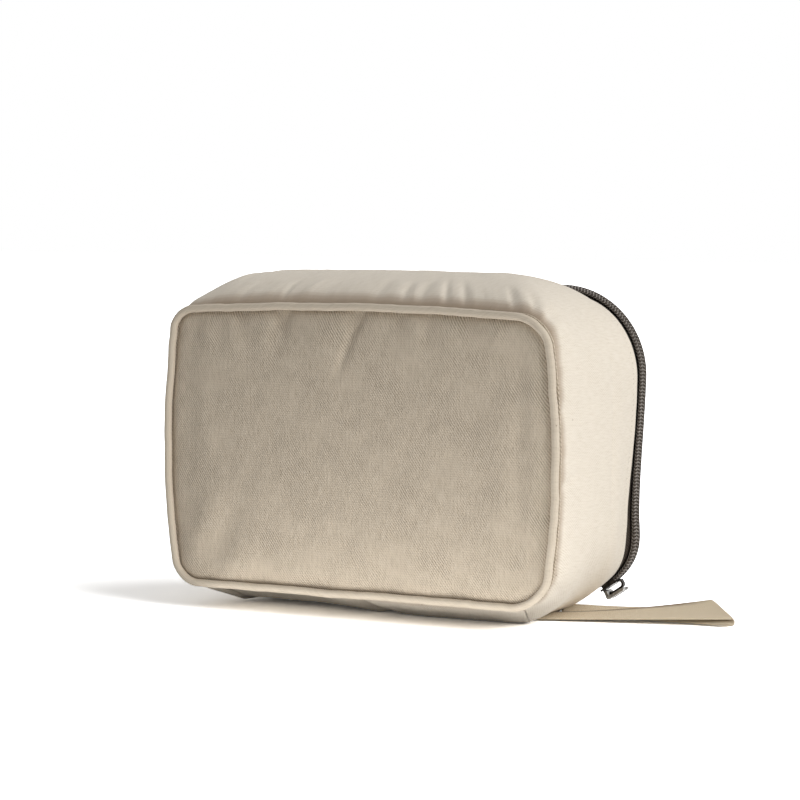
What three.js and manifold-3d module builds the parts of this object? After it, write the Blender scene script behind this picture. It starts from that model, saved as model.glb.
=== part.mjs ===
// A toiletry bag of cotton canvas that stands on its base. The front tub is a piped front panel and a
// gusset; the back panel is a lid, joined to the tub by a zip round three sides and by a strip of fabric at
// the base.
// X runs across the bag, Y from front to back, Z up. The origin is the middle of the base, on the ground.
// Every length is in millimetres, and every angle in degrees.
import * as THREE from 'three';
import { mergeVertices } from 'three/addons/utils/BufferGeometryUtils.js';
import Module from 'manifold-3d';

const wasm = await Module();
wasm.setup();

// Outline of the front panel, at the piping
const PANEL_HALF_WIDTH = 119;
const PANEL_TOP = 174;
const PANEL_BOTTOM = 12.5;
const PANEL_CORNER_RADIUS = 17;
const PANEL_SIDE_BOW = 7;
const PANEL_TOP_BOW = 4;

// Outline at the zip, and the depth of the bag
const ZIP_FLARE = 5.5;
const ZIP_RISE = 10;
const ZIP_BOTTOM = 8;
const ZIP_CORNER_RADIUS = 44;
const FRONT_DEPTH = 57;
const ZIP_DEPTH = 52;

// How far the gusset bulges between its two edges
const TOP_CROWN = 14;
const BASE_CROWN = 14;
const SIDE_CROWN = 1.5;
const CORNER_CROWN = 18;
const CROWN_PEAK_SHARE = 0.4;
const FULL_CROWN = { steepness: 2, roundness: 0.5 };
const SLOW_CROWN = { steepness: 1.15, roundness: 1 };

// Cloth, foam and the clearance between pieces that touch
const CANVAS = 0.9;
const FOAM = 2;
const LINING = 0.4;
const TAPE = 0.6;
const GAP = 0.3;

// Front panel, piping and seams
const FRONT_CROWN = 4;
const PIPING_RADIUS = 2.6;
const PIPING_CLOTH = 0.7;
const PIPING_SLIT_ANGLE = 60;
const BINDING_WIDTH = 6;
const BINDING_THICKNESS = 1;

// Zip: tape, coil, stops
const HEM_TO_ZIP = 6.5;
const HEM_OVERLAP = 6;
const TAPE_SPACING = 2.8;
const COIL_WIDTH = 6.2;
const COIL_HEIGHT = 2.4;
const STOP_LENGTH = 2;
const STOP_HEIGHT = 1.6;

// Slider, with its bridge, and the pull
const SLIDER_TURN_SHARE = 0.37;
const SLIDER_LENGTH = 12.2;
const SLIDER_WALL = 1;
const SLIDER_SHOULDER = 0.7;
const WEDGE_LENGTH = 3.6;
const WEDGE_CLEARANCE = 0.4;
const BRIDGE_LENGTH = 13.6;
const BRIDGE_FRONT = 0.2;
const BRIDGE_HEIGHT = 4.5;
const BRIDGE_WIDTH = 2.8;
const BRIDGE_WALL = 1.1;
const PULL_LENGTH = 12.4;
const PULL_WALL = 1.9;
const PULL_HEEL = 0.6;
const PULL_SIDE_CLEARANCE = 0.7;

// Lid: the turned edge, the back panel
const LID_EDGE_RADIUS = 6;
const BACK_CROWN = 4;
const LID_OVERLAP = 3;

// Strap loop
const STRAP_WIDTH = 25;
const STRAP_THICKNESS = 1.5;
const STRAP_REACH = 98;
const STRAP_SKEW = 16;
const STRAP_ROOT_INSET = 24;
const STRAP_DEPTH_PLACE = 5;
const STRAP_ANGLE = 14;
const STRAP_FOLD_RADIUS = 1.6;
const STRAP_LOWER_LEG_SHIFT = 14;
const STRAP_UPPER_LEG_SHIFT = -4;
const STRAP_FOLD_SHIFT = 3;
const STRAP_END_LIFT = 7;

const CANVAS_COLOUR = 0xb9ad98;
const CREAM_COLOUR = 0xe0d4c0;
const FOAM_COLOUR = 0xf1efe9;
const LINING_COLOUR = 0xc9c0ae;
const TAPE_COLOUR = 0x2e2723;
const METAL_COLOUR = 0x55534f;
const WEBBING_COLOUR = 0xdfd0b2;

const FRONT_Y = -FRONT_DEPTH;
const ZIP_Y = ZIP_DEPTH;
const HEM_Y = ZIP_Y - HEM_TO_ZIP;
const ZIP_HALF_WIDTH = PANEL_HALF_WIDTH + ZIP_FLARE;
const ZIP_TOP = PANEL_TOP + ZIP_RISE;
const TAPE_INSET = CANVAS + GAP;
const STACK = CANVAS + GAP + FOAM + GAP + LINING;
const SLIDER_INNER = COIL_WIDTH / 2 + GAP;
const SLIDER_OUTER = SLIDER_INNER + SLIDER_WALL;
const SLIDER_MOUTH = SLIDER_OUTER + SLIDER_SHOULDER;
const LID_TURN_Y = ZIP_Y + SLIDER_MOUTH + GAP;

const lerp = THREE.MathUtils.lerp;
const radians = THREE.MathUtils.degToRad;

// The share of its full bulge that the gusset has at a depth: steep behind the piping, gentle near the zip.
// The base and the corners take the slow crown, which starts less steeply.
function crownShare(v, { steepness, roundness }) {
  const rise = Math.min(v / CROWN_PEAK_SHARE, 1);
  const fall = Math.max((v - CROWN_PEAK_SHARE) / (1 - CROWN_PEAK_SHARE), 0);
  return (1 - (1 - rise) ** steepness) ** roundness * (1 - fall ** 2);
}

// Rows of points on the outer face: close behind the piping, one where the foam ends, and one at the hem.
const ROW_SHARES = [0, 0.03, 0.1, 0.22, 0.4, 0.6, 0.8, 1];
const FOAM_END_Y = HEM_Y - HEM_OVERLAP - GAP;
const ROWS = [...ROW_SHARES.map((share) => lerp(FRONT_Y, FOAM_END_Y, share)), HEM_Y];

// The rounded rectangle of the outer face at a share of the bag's depth.
function trueSection(v) {
  const c = crownShare(v, FULL_CROWN);
  const slow = crownShare(v, SLOW_CROWN);
  return {
    halfWidth: lerp(PANEL_HALF_WIDTH, ZIP_HALF_WIDTH, v) + SIDE_CROWN * c,
    top: lerp(PANEL_TOP, ZIP_TOP, v) + TOP_CROWN * c,
    bottom: Math.max(lerp(PANEL_BOTTOM, ZIP_BOTTOM, v) - BASE_CROWN * slow, 0),
    radius: lerp(PANEL_CORNER_RADIUS, ZIP_CORNER_RADIUS, v) + CORNER_CROWN * slow,
    sideBow: PANEL_SIDE_BOW * (1 - v),
    topBow: PANEL_TOP_BOW * (1 - v),
  };
}

// The section at depth y, straight between the rows, so that pieces cut at other depths still nest. It stays
// the same from the hem to the back, where the zip runs.
function sectionAt(depth) {
  const y = THREE.MathUtils.clamp(depth, FRONT_Y, HEM_Y);
  const row = Math.max(ROWS.findLastIndex((edge) => edge < y), 0);
  const [from, to] = [ROWS[row], ROWS[row + 1]];
  const [before, after] = [from, to].map((edge) => trueSection((edge - FRONT_Y) / (HEM_Y - FRONT_Y)));
  const part = (y - from) / (to - from);
  return Object.fromEntries(Object.keys(before).map((key) => [key, lerp(before[key], after[key], part)]));
}

// Steps along the four edges and round each corner, and round the small curves.
const EDGE_STEPS = [8, 4, 8, 4];
const CORNER_STEPS = 6;
const PIPING_STEPS = 8;
const PIPING_BORE_STEPS = 5;
const CORD_STEPS = 6;
const LID_EDGE_STEPS = 4;
const ARCH_STEPS = 5;
const EYE_STEPS = 12;
const STEP_TOLERANCE_SHARE = 1e-6;
const BASE_SEAM_TURN_SHARE = 1 / CORNER_STEPS;

// Corners, in the order of a walk round the outline that starts at the base and goes up on the right.
const CORNERS = [
  { side: 1, up: -1, start: -90 },
  { side: 1, up: 1, start: 0 },
  { side: -1, up: 1, start: 90 },
  { side: -1, up: -1, start: 180 },
];

// A place on the bag: a station of the walk, a depth, and a distance in from the outer face. Between two
// steps of a corner it lies on their chord, so that pieces that end part of the way round still nest.
function placeOn(station, y, inset) {
  const step = station.share * CORNER_STEPS;
  const before = Math.floor(step + STEP_TOLERANCE_SHARE);
  if (station.edge === undefined && step - before > STEP_TOLERANCE_SHARE) {
    const ends = [before, before + 1].map((i) => ({ corner: station.corner, share: i / CORNER_STEPS }));
    return placeOn(ends[0], y, inset).lerp(placeOn(ends[1], y, inset), step - before);
  }
  const s = sectionAt(y);
  const across = s.halfWidth - s.radius;
  const low = s.bottom + s.radius;
  const high = s.top - s.radius;
  let x, z, dx, dz;
  if (station.edge === undefined) {
    const corner = CORNERS[station.corner];
    const angle = radians(corner.start + 90 * station.share);
    dx = Math.cos(angle);
    dz = Math.sin(angle);
    x = corner.side * across + s.radius * dx;
    z = (corner.up > 0 ? high : low) + s.radius * dz;
  } else {
    dx = [0, 1, 0, -1][station.edge];
    dz = [-1, 0, 1, 0][station.edge];
    const along = 2 * station.share - 1;
    x = dx === 0 ? -dz * along * across : dx * s.halfWidth;
    z = dz === 0 ? lerp(low, high, dx > 0 ? station.share : 1 - station.share) : dz > 0 ? s.top : s.bottom;
  }
  const middle = (s.top + s.bottom) / 2;
  const up = (z - middle) / (s.top - middle);
  const out = x / s.halfWidth;
  const bowX = s.sideBow * (1 - up ** 2) * out ** 4 * Math.sign(x);
  const bowZ = s.topBow * (1 - out ** 2) * Math.max(up, 0) ** 4;
  return new THREE.Vector3(x - inset * dx + bowX, y, z - inset * dz + bowZ);
}

// Stations from one share to another of an edge or a corner.
function walk(key, index, from, to, steps) {
  return Array.from({ length: steps + 1 }, (_, i) => ({ [key]: index, share: lerp(from, to, i / steps) }));
}

// A stretch of a corner, with a station at each of its steps.
function turn(index, from, to) {
  const steps = Array.from({ length: CORNER_STEPS + 1 }, (_, i) => i / CORNER_STEPS);
  const [low, high] = [from + STEP_TOLERANCE_SHARE, to - STEP_TOLERANCE_SHARE];
  const inside = steps.filter((share) => share > low && share < high);
  return [from, ...inside, to].map((share) => ({ corner: index, share }));
}

// The walk without its doubled stations, where one stretch ends and the next begins.
function joined(stretches) {
  return stretches.flatMap((stretch, i) => (i === 0 ? stretch : stretch.slice(1)));
}

function allRound() {
  const stretches = [0, 1, 2, 3].flatMap((i) => [
    walk('edge', i, 0, 1, EDGE_STEPS[i]),
    turn(i, 0, 1),
  ]);
  return joined(stretches).slice(0, -1);
}

// The stretch over the right side, the top and the left side, from a share of one lower corner to the other.
function overTheTop(from) {
  return joined([
    turn(0, from, 1),
    walk('edge', 1, 0, 1, EDGE_STEPS[1]),
    turn(1, 0, 1),
    walk('edge', 2, 0, 1, EDGE_STEPS[2]),
    turn(2, 0, 1),
    walk('edge', 3, 0, 1, EDGE_STEPS[3]),
    turn(3, 0, 1 - from),
  ]);
}

function underTheBase(share) {
  return joined([
    turn(3, 1 - share, 1),
    walk('edge', 0, 0, 1, EDGE_STEPS[0]),
    turn(0, 0, share),
  ]);
}

function geometryFrom(points, triangles) {
  const geometry = new THREE.BufferGeometry();
  geometry.setAttribute('position', new THREE.Float32BufferAttribute(points.flatMap((p) => p.toArray()), 3));
  geometry.setIndex(triangles);
  let volume = 0;
  for (let i = 0; i < triangles.length; i += 3) {
    const [a, b, c] = triangles.slice(i, i + 3).map((k) => points[k]);
    volume += a.dot(b.clone().cross(c));
  }
  if (volume < 0) {
    for (let i = 0; i < triangles.length; i += 3) {
      [triangles[i], triangles[i + 1]] = [triangles[i + 1], triangles[i]];
    }
    geometry.setIndex(triangles);
  }
  geometry.computeVertexNormals();
  return geometry;
}

// A ring or a strip round the bag: a closed section of [inset, depth] points carried past the stations. A
// section lists one face from front to back and then the other face back again, point for point. Both faces
// are split along the same diagonals, so that layers nest.
function carried(stations, section, closed) {
  const points = stations.flatMap((s) => section.map(([inset, y]) => placeOn(s, y, inset)));
  const count = section.length;
  const triangles = [];
  const spans = closed ? stations.length : stations.length - 1;
  for (let i = 0; i < spans; i += 1) {
    const next = (i + 1) % stations.length;
    for (let j = 0; j < count; j += 1) {
      const k = (j + 1) % count;
      const [a, b] = [i * count + j, i * count + k];
      const [c, d] = [next * count + k, next * count + j];
      const towardsFront = section[k][1] < section[j][1];
      triangles.push(...(towardsFront ? [a, b, d, b, c, d] : [a, b, c, a, c, d]));
    }
  }
  const last = (stations.length - 1) * count;
  for (let j = 0; !closed && j < count / 2 - 1; j += 1) {
    const [p, q, r, s] = [j, j + 1, count - 2 - j, count - 1 - j];
    triangles.push(p, r, q, p, s, r);
    triangles.push(last + p, last + q, last + r, last + p, last + r, last + s);
  }
  return geometryFrom(points, triangles);
}

// The section of one layer between two depths, with the bag's rows.
function layer(inset, thickness, from, to) {
  const depths = [from, ...ROWS.filter((y) => y > from + GAP && y < to - GAP), to];
  const outside = depths.map((y) => [inset, y]);
  const inside = depths.map((y) => [inset + thickness, y]).reverse();
  return [...outside, ...inside];
}

const PANEL_RING_SHARES = [1, 0.72, 0.36];

// A crowned panel: its edge is the bag's outline at one depth, drawn in by the inset and laid at depth y,
// and its middle stands out by the crown.
function panel(outlineY, y, inset, thickness, crown) {
  const stations = allRound();
  const section = sectionAt(outlineY);
  const middle = (section.top + section.bottom) / 2;
  const faces = [0, thickness].map((offset) => ({ offset, first: 0 }));
  const points = [];
  for (const face of faces) {
    face.first = points.length;
    for (const share of PANEL_RING_SHARES) {
      for (const station of stations) {
        const edge = placeOn(station, outlineY, inset);
        const out = crown * (1 - share ** 2);
        points.push(new THREE.Vector3(edge.x * share, y + out + face.offset, lerp(middle, edge.z, share)));
      }
    }
    points.push(new THREE.Vector3(0, y + crown + face.offset, middle));
  }
  const count = stations.length;
  const rings = PANEL_RING_SHARES.length;
  const triangles = [];
  for (let i = 0; i < count; i += 1) {
    const next = (i + 1) % count;
    for (const { first, offset } of faces) {
      const cell = [];
      for (let ring = 0; ring < rings - 1; ring += 1) {
        const [a, b] = [first + ring * count + i, first + ring * count + next];
        cell.push(a, b, b + count, a, b + count, a + count);
      }
      const inner = first + (rings - 1) * count;
      cell.push(inner + i, inner + next, first + rings * count);
      triangles.push(...(offset > 0 ? cell : cell.reverse()));
    }
    const [p, q] = [faces[0].first + i, faces[0].first + next];
    const [s, t] = [faces[1].first + i, faces[1].first + next];
    triangles.push(p, q, t, p, t, s);
  }
  return geometryFrom(points, triangles);
}

const bag = new THREE.Group();

function add(name, geometry, colour, roughness = 0.9, metalness = 0) {
  const material = new THREE.MeshStandardMaterial({ color: colour, roughness, metalness });
  const mesh = new THREE.Mesh(geometry, material);
  mesh.name = name;
  bag.add(mesh);
  return mesh;
}

// Manifold only joins and cuts; every shape comes from three.
function solidFrom(geometry) {
  const bare = geometry.clone();
  bare.deleteAttribute('normal');
  bare.deleteAttribute('uv');
  const merged = mergeVertices(bare);
  const vertProperties = new Float32Array(merged.attributes.position.array);
  return new wasm.Manifold(new wasm.Mesh({ numProp: 3, vertProperties, triVerts: merged.index.array }));
}

function geometryOf(solid) {
  const mesh = solid.getMesh();
  const geometry = new THREE.BufferGeometry();
  geometry.setAttribute('position', new THREE.Float32BufferAttribute(mesh.vertProperties, 3));
  geometry.setIndex(Array.from(mesh.triVerts));
  geometry.computeVertexNormals();
  return geometry;
}

// Front panel: canvas outside, foam and lining inside the tub.
function buildFront() {
  const canvasY = FRONT_Y - GAP - CANVAS;
  add('front_panel', panel(FRONT_Y, canvasY, GAP, CANVAS, -FRONT_CROWN), CANVAS_COLOUR);
  add('front_padding', panel(FRONT_Y, FRONT_Y, STACK + GAP, FOAM, -FRONT_CROWN), FOAM_COLOUR);
  const liningY = FRONT_Y + FOAM + GAP;
  add('front_lining', panel(FRONT_Y, liningY, STACK + GAP, LINING, -FRONT_CROWN), LINING_COLOUR);
}

// Points on a circle in the [inset, depth] plane.
function circlePoints(inset, y, radius, from, to, steps) {
  return Array.from({ length: steps + 1 }, (_, i) => {
    const angle = radians(lerp(from, to, i / steps));
    return [inset - radius * Math.cos(angle), y + radius * Math.sin(angle)];
  });
}

// Piping: a cord in a folded bias strip, whose slit faces the seam.
function buildPiping() {
  const y = FRONT_Y - GAP - CANVAS - GAP - PIPING_RADIUS;
  const [from, to] = [90 + PIPING_SLIT_ANGLE / 2, 450 - PIPING_SLIT_ANGLE / 2];
  const bore = PIPING_RADIUS - PIPING_CLOTH;
  const outside = circlePoints(PIPING_RADIUS, y, PIPING_RADIUS, from, to, PIPING_STEPS);
  const inside = circlePoints(PIPING_RADIUS, y, bore, from, to, PIPING_BORE_STEPS).reverse();
  add('front_piping_cover', carried(allRound(), [...outside, ...inside], true), CANVAS_COLOUR);
  const cord = circlePoints(PIPING_RADIUS, y, bore - GAP, 0, 360, CORD_STEPS).slice(0, -1);
  add('front_piping_cord', carried(allRound(), cord, true), FOAM_COLOUR);
}

// A flat ring that binds a seam inside the bag.
function bindingSection(y, thickness) {
  const [near, far] = [STACK + GAP, STACK + GAP + BINDING_WIDTH];
  return [[near, y], [far, y], [far, y + thickness], [near, y + thickness]];
}

// Gusset: two canvas strips that meet at seams in the lower corners, one foam and one lining all round.
function buildGusset() {
  const seamGapShare = GAP / (PANEL_CORNER_RADIUS * Math.PI / 2);
  const canvas = layer(0, CANVAS, FRONT_Y, HEM_Y);
  const start = BASE_SEAM_TURN_SHARE + seamGapShare;
  add('zip_gusset', carried(overTheTop(start), canvas, false), CREAM_COLOUR);
  add('base_gusset', carried(underTheBase(BASE_SEAM_TURN_SHARE), canvas, false), CREAM_COLOUR);
  const foam = layer(CANVAS + GAP, FOAM, FRONT_Y, FOAM_END_Y);
  add('gusset_padding', carried(allRound(), foam, true), FOAM_COLOUR);
  const lining = layer(STACK - LINING, LINING, FRONT_Y, FOAM_END_Y);
  add('gusset_lining', carried(allRound(), lining, true), LINING_COLOUR);
  const bindingY = FRONT_Y + FOAM + GAP + LINING + GAP;
  const binding = bindingSection(bindingY, BINDING_THICKNESS);
  add('front_seam_binding', carried(allRound(), binding, true), TAPE_COLOUR);
}

// The lid's side of the zip: flat where the slider runs, then a quarter round on to the back panel.
function lidEdgeSection(inset, thickness, start) {
  const middle = inset + LID_EDGE_RADIUS;
  const quarter = (radius) => circlePoints(middle, LID_TURN_Y, radius, 0, 90, LID_EDGE_STEPS);
  const outside = quarter(LID_EDGE_RADIUS);
  const inside = quarter(LID_EDGE_RADIUS - thickness).reverse();
  const lead = start.map((y) => [inset, y]);
  const back = start.map((y) => [inset + thickness, y]).reverse();
  return [...lead, ...outside, ...inside, ...back];
}

// Zip: two tapes with a coil on the facing edge of each, and stops that keep the slider on.
function buildZip() {
  const ends = BASE_SEAM_TURN_SHARE + GAP / (ZIP_CORNER_RADIUS * Math.PI / 2);
  const frontTape = layer(TAPE_INSET, TAPE, HEM_Y - HEM_OVERLAP, ZIP_Y - TAPE_SPACING / 2);
  add('zip_tape_front', carried(overTheTop(ends), frontTape, false), TAPE_COLOUR);
  const lidTape = lidEdgeSection(TAPE_INSET, TAPE, [ZIP_Y + TAPE_SPACING / 2]);
  add('zip_tape_lid', carried(overTheTop(ends), lidTape, false), TAPE_COLOUR);
  const top = TAPE_INSET - GAP;
  const coil = (from, to, height) => [[top, from], [top, to], [top - height, to], [top - height, from]];
  const quarter = ZIP_CORNER_RADIUS * Math.PI / 2;
  const coilStart = SLIDER_TURN_SHARE + GAP / quarter;
  const half = COIL_WIDTH / 2;
  const front = coil(ZIP_Y - half, ZIP_Y - GAP / 2, COIL_HEIGHT);
  const lid = coil(ZIP_Y + GAP / 2, ZIP_Y + half, COIL_HEIGHT);
  const stopSpan = STOP_LENGTH / quarter;
  const coils = overTheTop(coilStart);
  add('zip_coil_front', carried(coils, front, false), METAL_COLOUR, 0.4, 0.6);
  add('zip_coil_lid', carried(coils, lid, false), METAL_COLOUR, 0.4, 0.6);
  const mouth = SLIDER_TURN_SHARE - (SLIDER_LENGTH / 2 + GAP) / quarter;
  const stopStations = turn(0, mouth - stopSpan, mouth);
  const edge = TAPE_SPACING / 2 + GAP;
  const frontStop = coil(ZIP_Y - half, ZIP_Y - edge, STOP_HEIGHT);
  const lidStop = coil(ZIP_Y + edge, ZIP_Y + half, STOP_HEIGHT);
  add('zip_top_stop_front', carried(stopStations, frontStop, false), METAL_COLOUR, 0.4, 0.9);
  add('zip_top_stop_lid', carried(stopStations, lidStop, false), METAL_COLOUR, 0.4, 0.9);
  const bottom = 1 - coilStart + GAP / quarter;
  const bottomStations = turn(3, bottom, bottom + stopSpan);
  add('zip_bottom_stop', carried(bottomStations, coil(ZIP_Y - half, ZIP_Y + half, COIL_HEIGHT), false),
    METAL_COLOUR, 0.4, 0.9);
}

function extrudedFlat(shape, depth) {
  return new THREE.ExtrudeGeometry(shape, { depth, bevelEnabled: false, curveSegments: ARCH_STEPS });
}

// A profile in the slider's length and height, as thick as width across the zip and centred on it.
function extrudedAcross(shape, width, place = 0) {
  const geometry = extrudedFlat(shape, width);
  geometry.translate(0, 0, place - width / 2);
  return geometry.rotateX(Math.PI / 2);
}

function polygon(points) {
  return new THREE.Shape(points.map(([a, b]) => new THREE.Vector2(a, b)));
}

function block(x0, x1, y0, y1, z0, z1) {
  const geometry = new THREE.BoxGeometry(x1 - x0, y1 - y0, z1 - z0);
  return geometry.translate((x0 + x1) / 2, (y0 + y1) / 2, (z0 + z1) / 2);
}

// An arch in length and height: square feet, a round crown at the tail end, and its hollow as a hole.
function archShape(from, to, base, height, wall) {
  const corner = height / 2;
  const shape = new THREE.Shape();
  shape.moveTo(from, base);
  shape.lineTo(from, base + height - corner);
  shape.absarc(from + corner, base + height - corner, corner, Math.PI, Math.PI / 2, true);
  shape.absarc(to - corner, base + height - corner, corner, Math.PI / 2, 0, true);
  shape.lineTo(to, base);
  const hole = new THREE.Path();
  const inner = corner - wall / 2;
  hole.moveTo(from + wall, base + wall / 2);
  hole.lineTo(to - wall, base + wall / 2);
  hole.absarc(to - wall - inner, base + height - wall - inner, inner, 0, Math.PI / 2, false);
  hole.absarc(from + wall + inner, base + height - wall - inner, inner, Math.PI / 2, Math.PI, false);
  shape.holes.push(hole);
  return shape;
}

// The heights of the slider's walls above the tape's outer face, and the bow of the tape inside it.
function sliderHeights() {
  const radius = ZIP_CORNER_RADIUS - TAPE_INSET;
  const bow = radius - Math.sqrt(radius ** 2 - (SLIDER_LENGTH / 2) ** 2);
  const roof = GAP + COIL_HEIGHT + GAP;
  const floor = -(TAPE + GAP + 2 * bow);
  return { radius, roof, floor, top: roof + SLIDER_WALL };
}

// Slider, lengthwise along the tape: the closed end of the zip is on its +X side, and Z points outwards.
function sliderSolid() {
  const { roof, floor, top } = sliderHeights();
  const half = SLIDER_LENGTH / 2;
  const [inner, outer, wide] = [SLIDER_INNER, SLIDER_OUTER, SLIDER_MOUTH];
  const plate = polygon([
    [half, outer], [half - SLIDER_WALL * 2, 0], [half, -outer], [0, -outer],
    [-half + SLIDER_WALL, -wide], [-half, -wide + SLIDER_WALL], [-half, wide - SLIDER_WALL],
    [-half + SLIDER_WALL, wide], [0, outer],
  ]);
  const roofPlate = extrudedFlat(plate, SLIDER_WALL).translate(0, 0, roof);
  const floorPlate = extrudedFlat(plate, SLIDER_WALL).translate(0, 0, floor - SLIDER_WALL);
  const wedgeHalf = TAPE_SPACING / 2 - WEDGE_CLEARANCE;
  const wedgeEnd = -half + SLIDER_WALL / 2;
  const wedge = extrudedFlat(polygon([
    [wedgeEnd, -wedgeHalf], [wedgeEnd + WEDGE_LENGTH, 0], [wedgeEnd, wedgeHalf],
  ]), roof - floor + SLIDER_WALL).translate(0, 0, floor - SLIDER_WALL / 2);
  const walls = [-1, 1].map((side) => {
    const [a, b] = side > 0 ? [inner, outer] : [-outer, -inner];
    return block(-half / 2, half - SLIDER_WALL, a, b, GAP, roof + SLIDER_WALL / 2);
  });
  const from = BRIDGE_FRONT - half;
  const bridge = archShape(from, from + BRIDGE_LENGTH, top - SLIDER_WALL / 2, BRIDGE_HEIGHT, BRIDGE_WALL);
  const bridgeSolid = solidFrom(extrudedAcross(bridge, BRIDGE_WIDTH));
  return [roofPlate, floorPlate, wedge, ...walls].map(solidFrom).reduce((a, b) => a.add(b), bridgeSolid);
}

// Pull: a cast loop with a round eye bar under the bridge, folded over it. Its pivot is its origin.
function pullSolid(lift) {
  const half = PULL_WALL / 2;
  const slot = BRIDGE_WIDTH / 2 + PULL_SIDE_CLEARANCE;
  const top = lift + PULL_WALL;
  const back = -half - PULL_HEEL;
  const tip = back + PULL_LENGTH;
  const cheek = polygon([
    [half, 0], [half, lift], [tip - half, lift], [tip, lift + half], [tip - half, top],
    [back + half, top], [back, top - half], [back, lift], [-half, 0], [0, -half],
  ]);
  const cheeks = [-1, 1].map((side) => extrudedAcross(cheek, PULL_WALL, side * (slot + half)));
  const across = (x0, x1, z0, z1) => block(x0, x1, -slot - half, slot + half, z0, z1);
  const eye = new THREE.CylinderGeometry(half, half, 2 * (slot + half), EYE_STEPS);
  const bars = [
    eye,
    across(back + half / 2, half, lift, top),
    across(tip - PULL_WALL, tip - half, lift, top),
  ];
  return [...cheeks, ...bars].map(solidFrom).reduce((a, b) => a.add(b));
}

function buildSlider() {
  const { radius, top } = sliderHeights();
  const angle = radians(90 * SLIDER_TURN_SHARE - 90);
  const out = new THREE.Vector3(Math.cos(angle), 0, Math.sin(angle));
  const along = new THREE.Vector3(-Math.sin(angle), 0, Math.cos(angle));
  const seat = new THREE.Group();
  const basis = new THREE.Matrix4().makeBasis(along, new THREE.Vector3(0, -1, 0), out);
  seat.quaternion.setFromRotationMatrix(basis);
  seat.position.set(ZIP_HALF_WIDTH - ZIP_CORNER_RADIUS, ZIP_Y, ZIP_BOTTOM + ZIP_CORNER_RADIUS);
  seat.position.addScaledVector(out, radius);
  bag.add(seat);
  const slider = add('slider_body', geometryOf(sliderSolid()), METAL_COLOUR, 0.35, 0.9);
  const room = BRIDGE_HEIGHT - SLIDER_WALL / 2 - BRIDGE_WALL;
  const foot = BRIDGE_FRONT + BRIDGE_WALL - SLIDER_LENGTH / 2;
  const pivot = new THREE.Vector3(foot + GAP + PULL_WALL / 2, 0, top + room / 2);
  const lift = BRIDGE_HEIGHT - SLIDER_WALL / 2 + GAP - room / 2;
  const pull = add('slider_pull', geometryOf(pullSolid(lift)), METAL_COLOUR, 0.35, 0.9);
  pull.position.copy(pivot);
  seat.add(slider, pull);
}

// Lid: back panel over the turned edge, with foam, lining and a bound seam inside.
function buildLid() {
  const edgeY = LID_TURN_Y + LID_EDGE_RADIUS;
  const edgeInset = TAPE_INSET + LID_EDGE_RADIUS;
  add('back_panel', panel(ZIP_Y, edgeY + GAP, edgeInset - LID_OVERLAP, CANVAS, BACK_CROWN), CREAM_COLOUR);
  const foamY = edgeY - TAPE - GAP - FOAM;
  add('back_padding', panel(ZIP_Y, foamY, edgeInset, FOAM, BACK_CROWN), FOAM_COLOUR);
  const liningY = foamY - GAP - LINING;
  add('back_lining', panel(ZIP_Y, liningY, edgeInset, LINING, BACK_CROWN), LINING_COLOUR);
}

// Hinge: a strip of canvas under the base, from inside the hem to the back panel.
function buildHinge() {
  const section = lidEdgeSection(TAPE_INSET, TAPE, [HEM_Y - HEM_OVERLAP, HEM_Y]);
  add('hinge_strip', carried(underTheBase(BASE_SEAM_TURN_SHARE), section, false), CREAM_COLOUR);
}

// Strap: a loop of webbing folded flat, its two ends caught in the right-hand base seam.
const STRAP_STEPS = 8;
const STRAP_FOLD_STEPS = 4;
const SEARCH_STEPS = 40;

// The height of the bag's outer face above a point of the ground, near the right-hand lower corner.
function heightUnder(x, y) {
  const points = turn(0, 0, 1).map((station) => placeOn(station, y, 0));
  const i = Math.max(points.findLastIndex((p) => p.x < x), 0);
  const [a, b] = [points[i], points[i + 1]];
  return lerp(a.z, b.z, Math.max((x - a.x) / (b.x - a.x), 0));
}

// How far along a line the bag's outer face is first as high as wanted.
function reachUnder(point, height) {
  let [low, high] = [-STRAP_ROOT_INSET, STRAP_ROOT_INSET];
  for (let i = 0; i < SEARCH_STEPS; i += 1) {
    const middle = (low + high) / 2;
    const place = point(middle);
    if (heightUnder(place.x, place.y) < height) {
      low = middle;
    } else {
      high = middle;
    }
  }
  return high;
}

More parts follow.
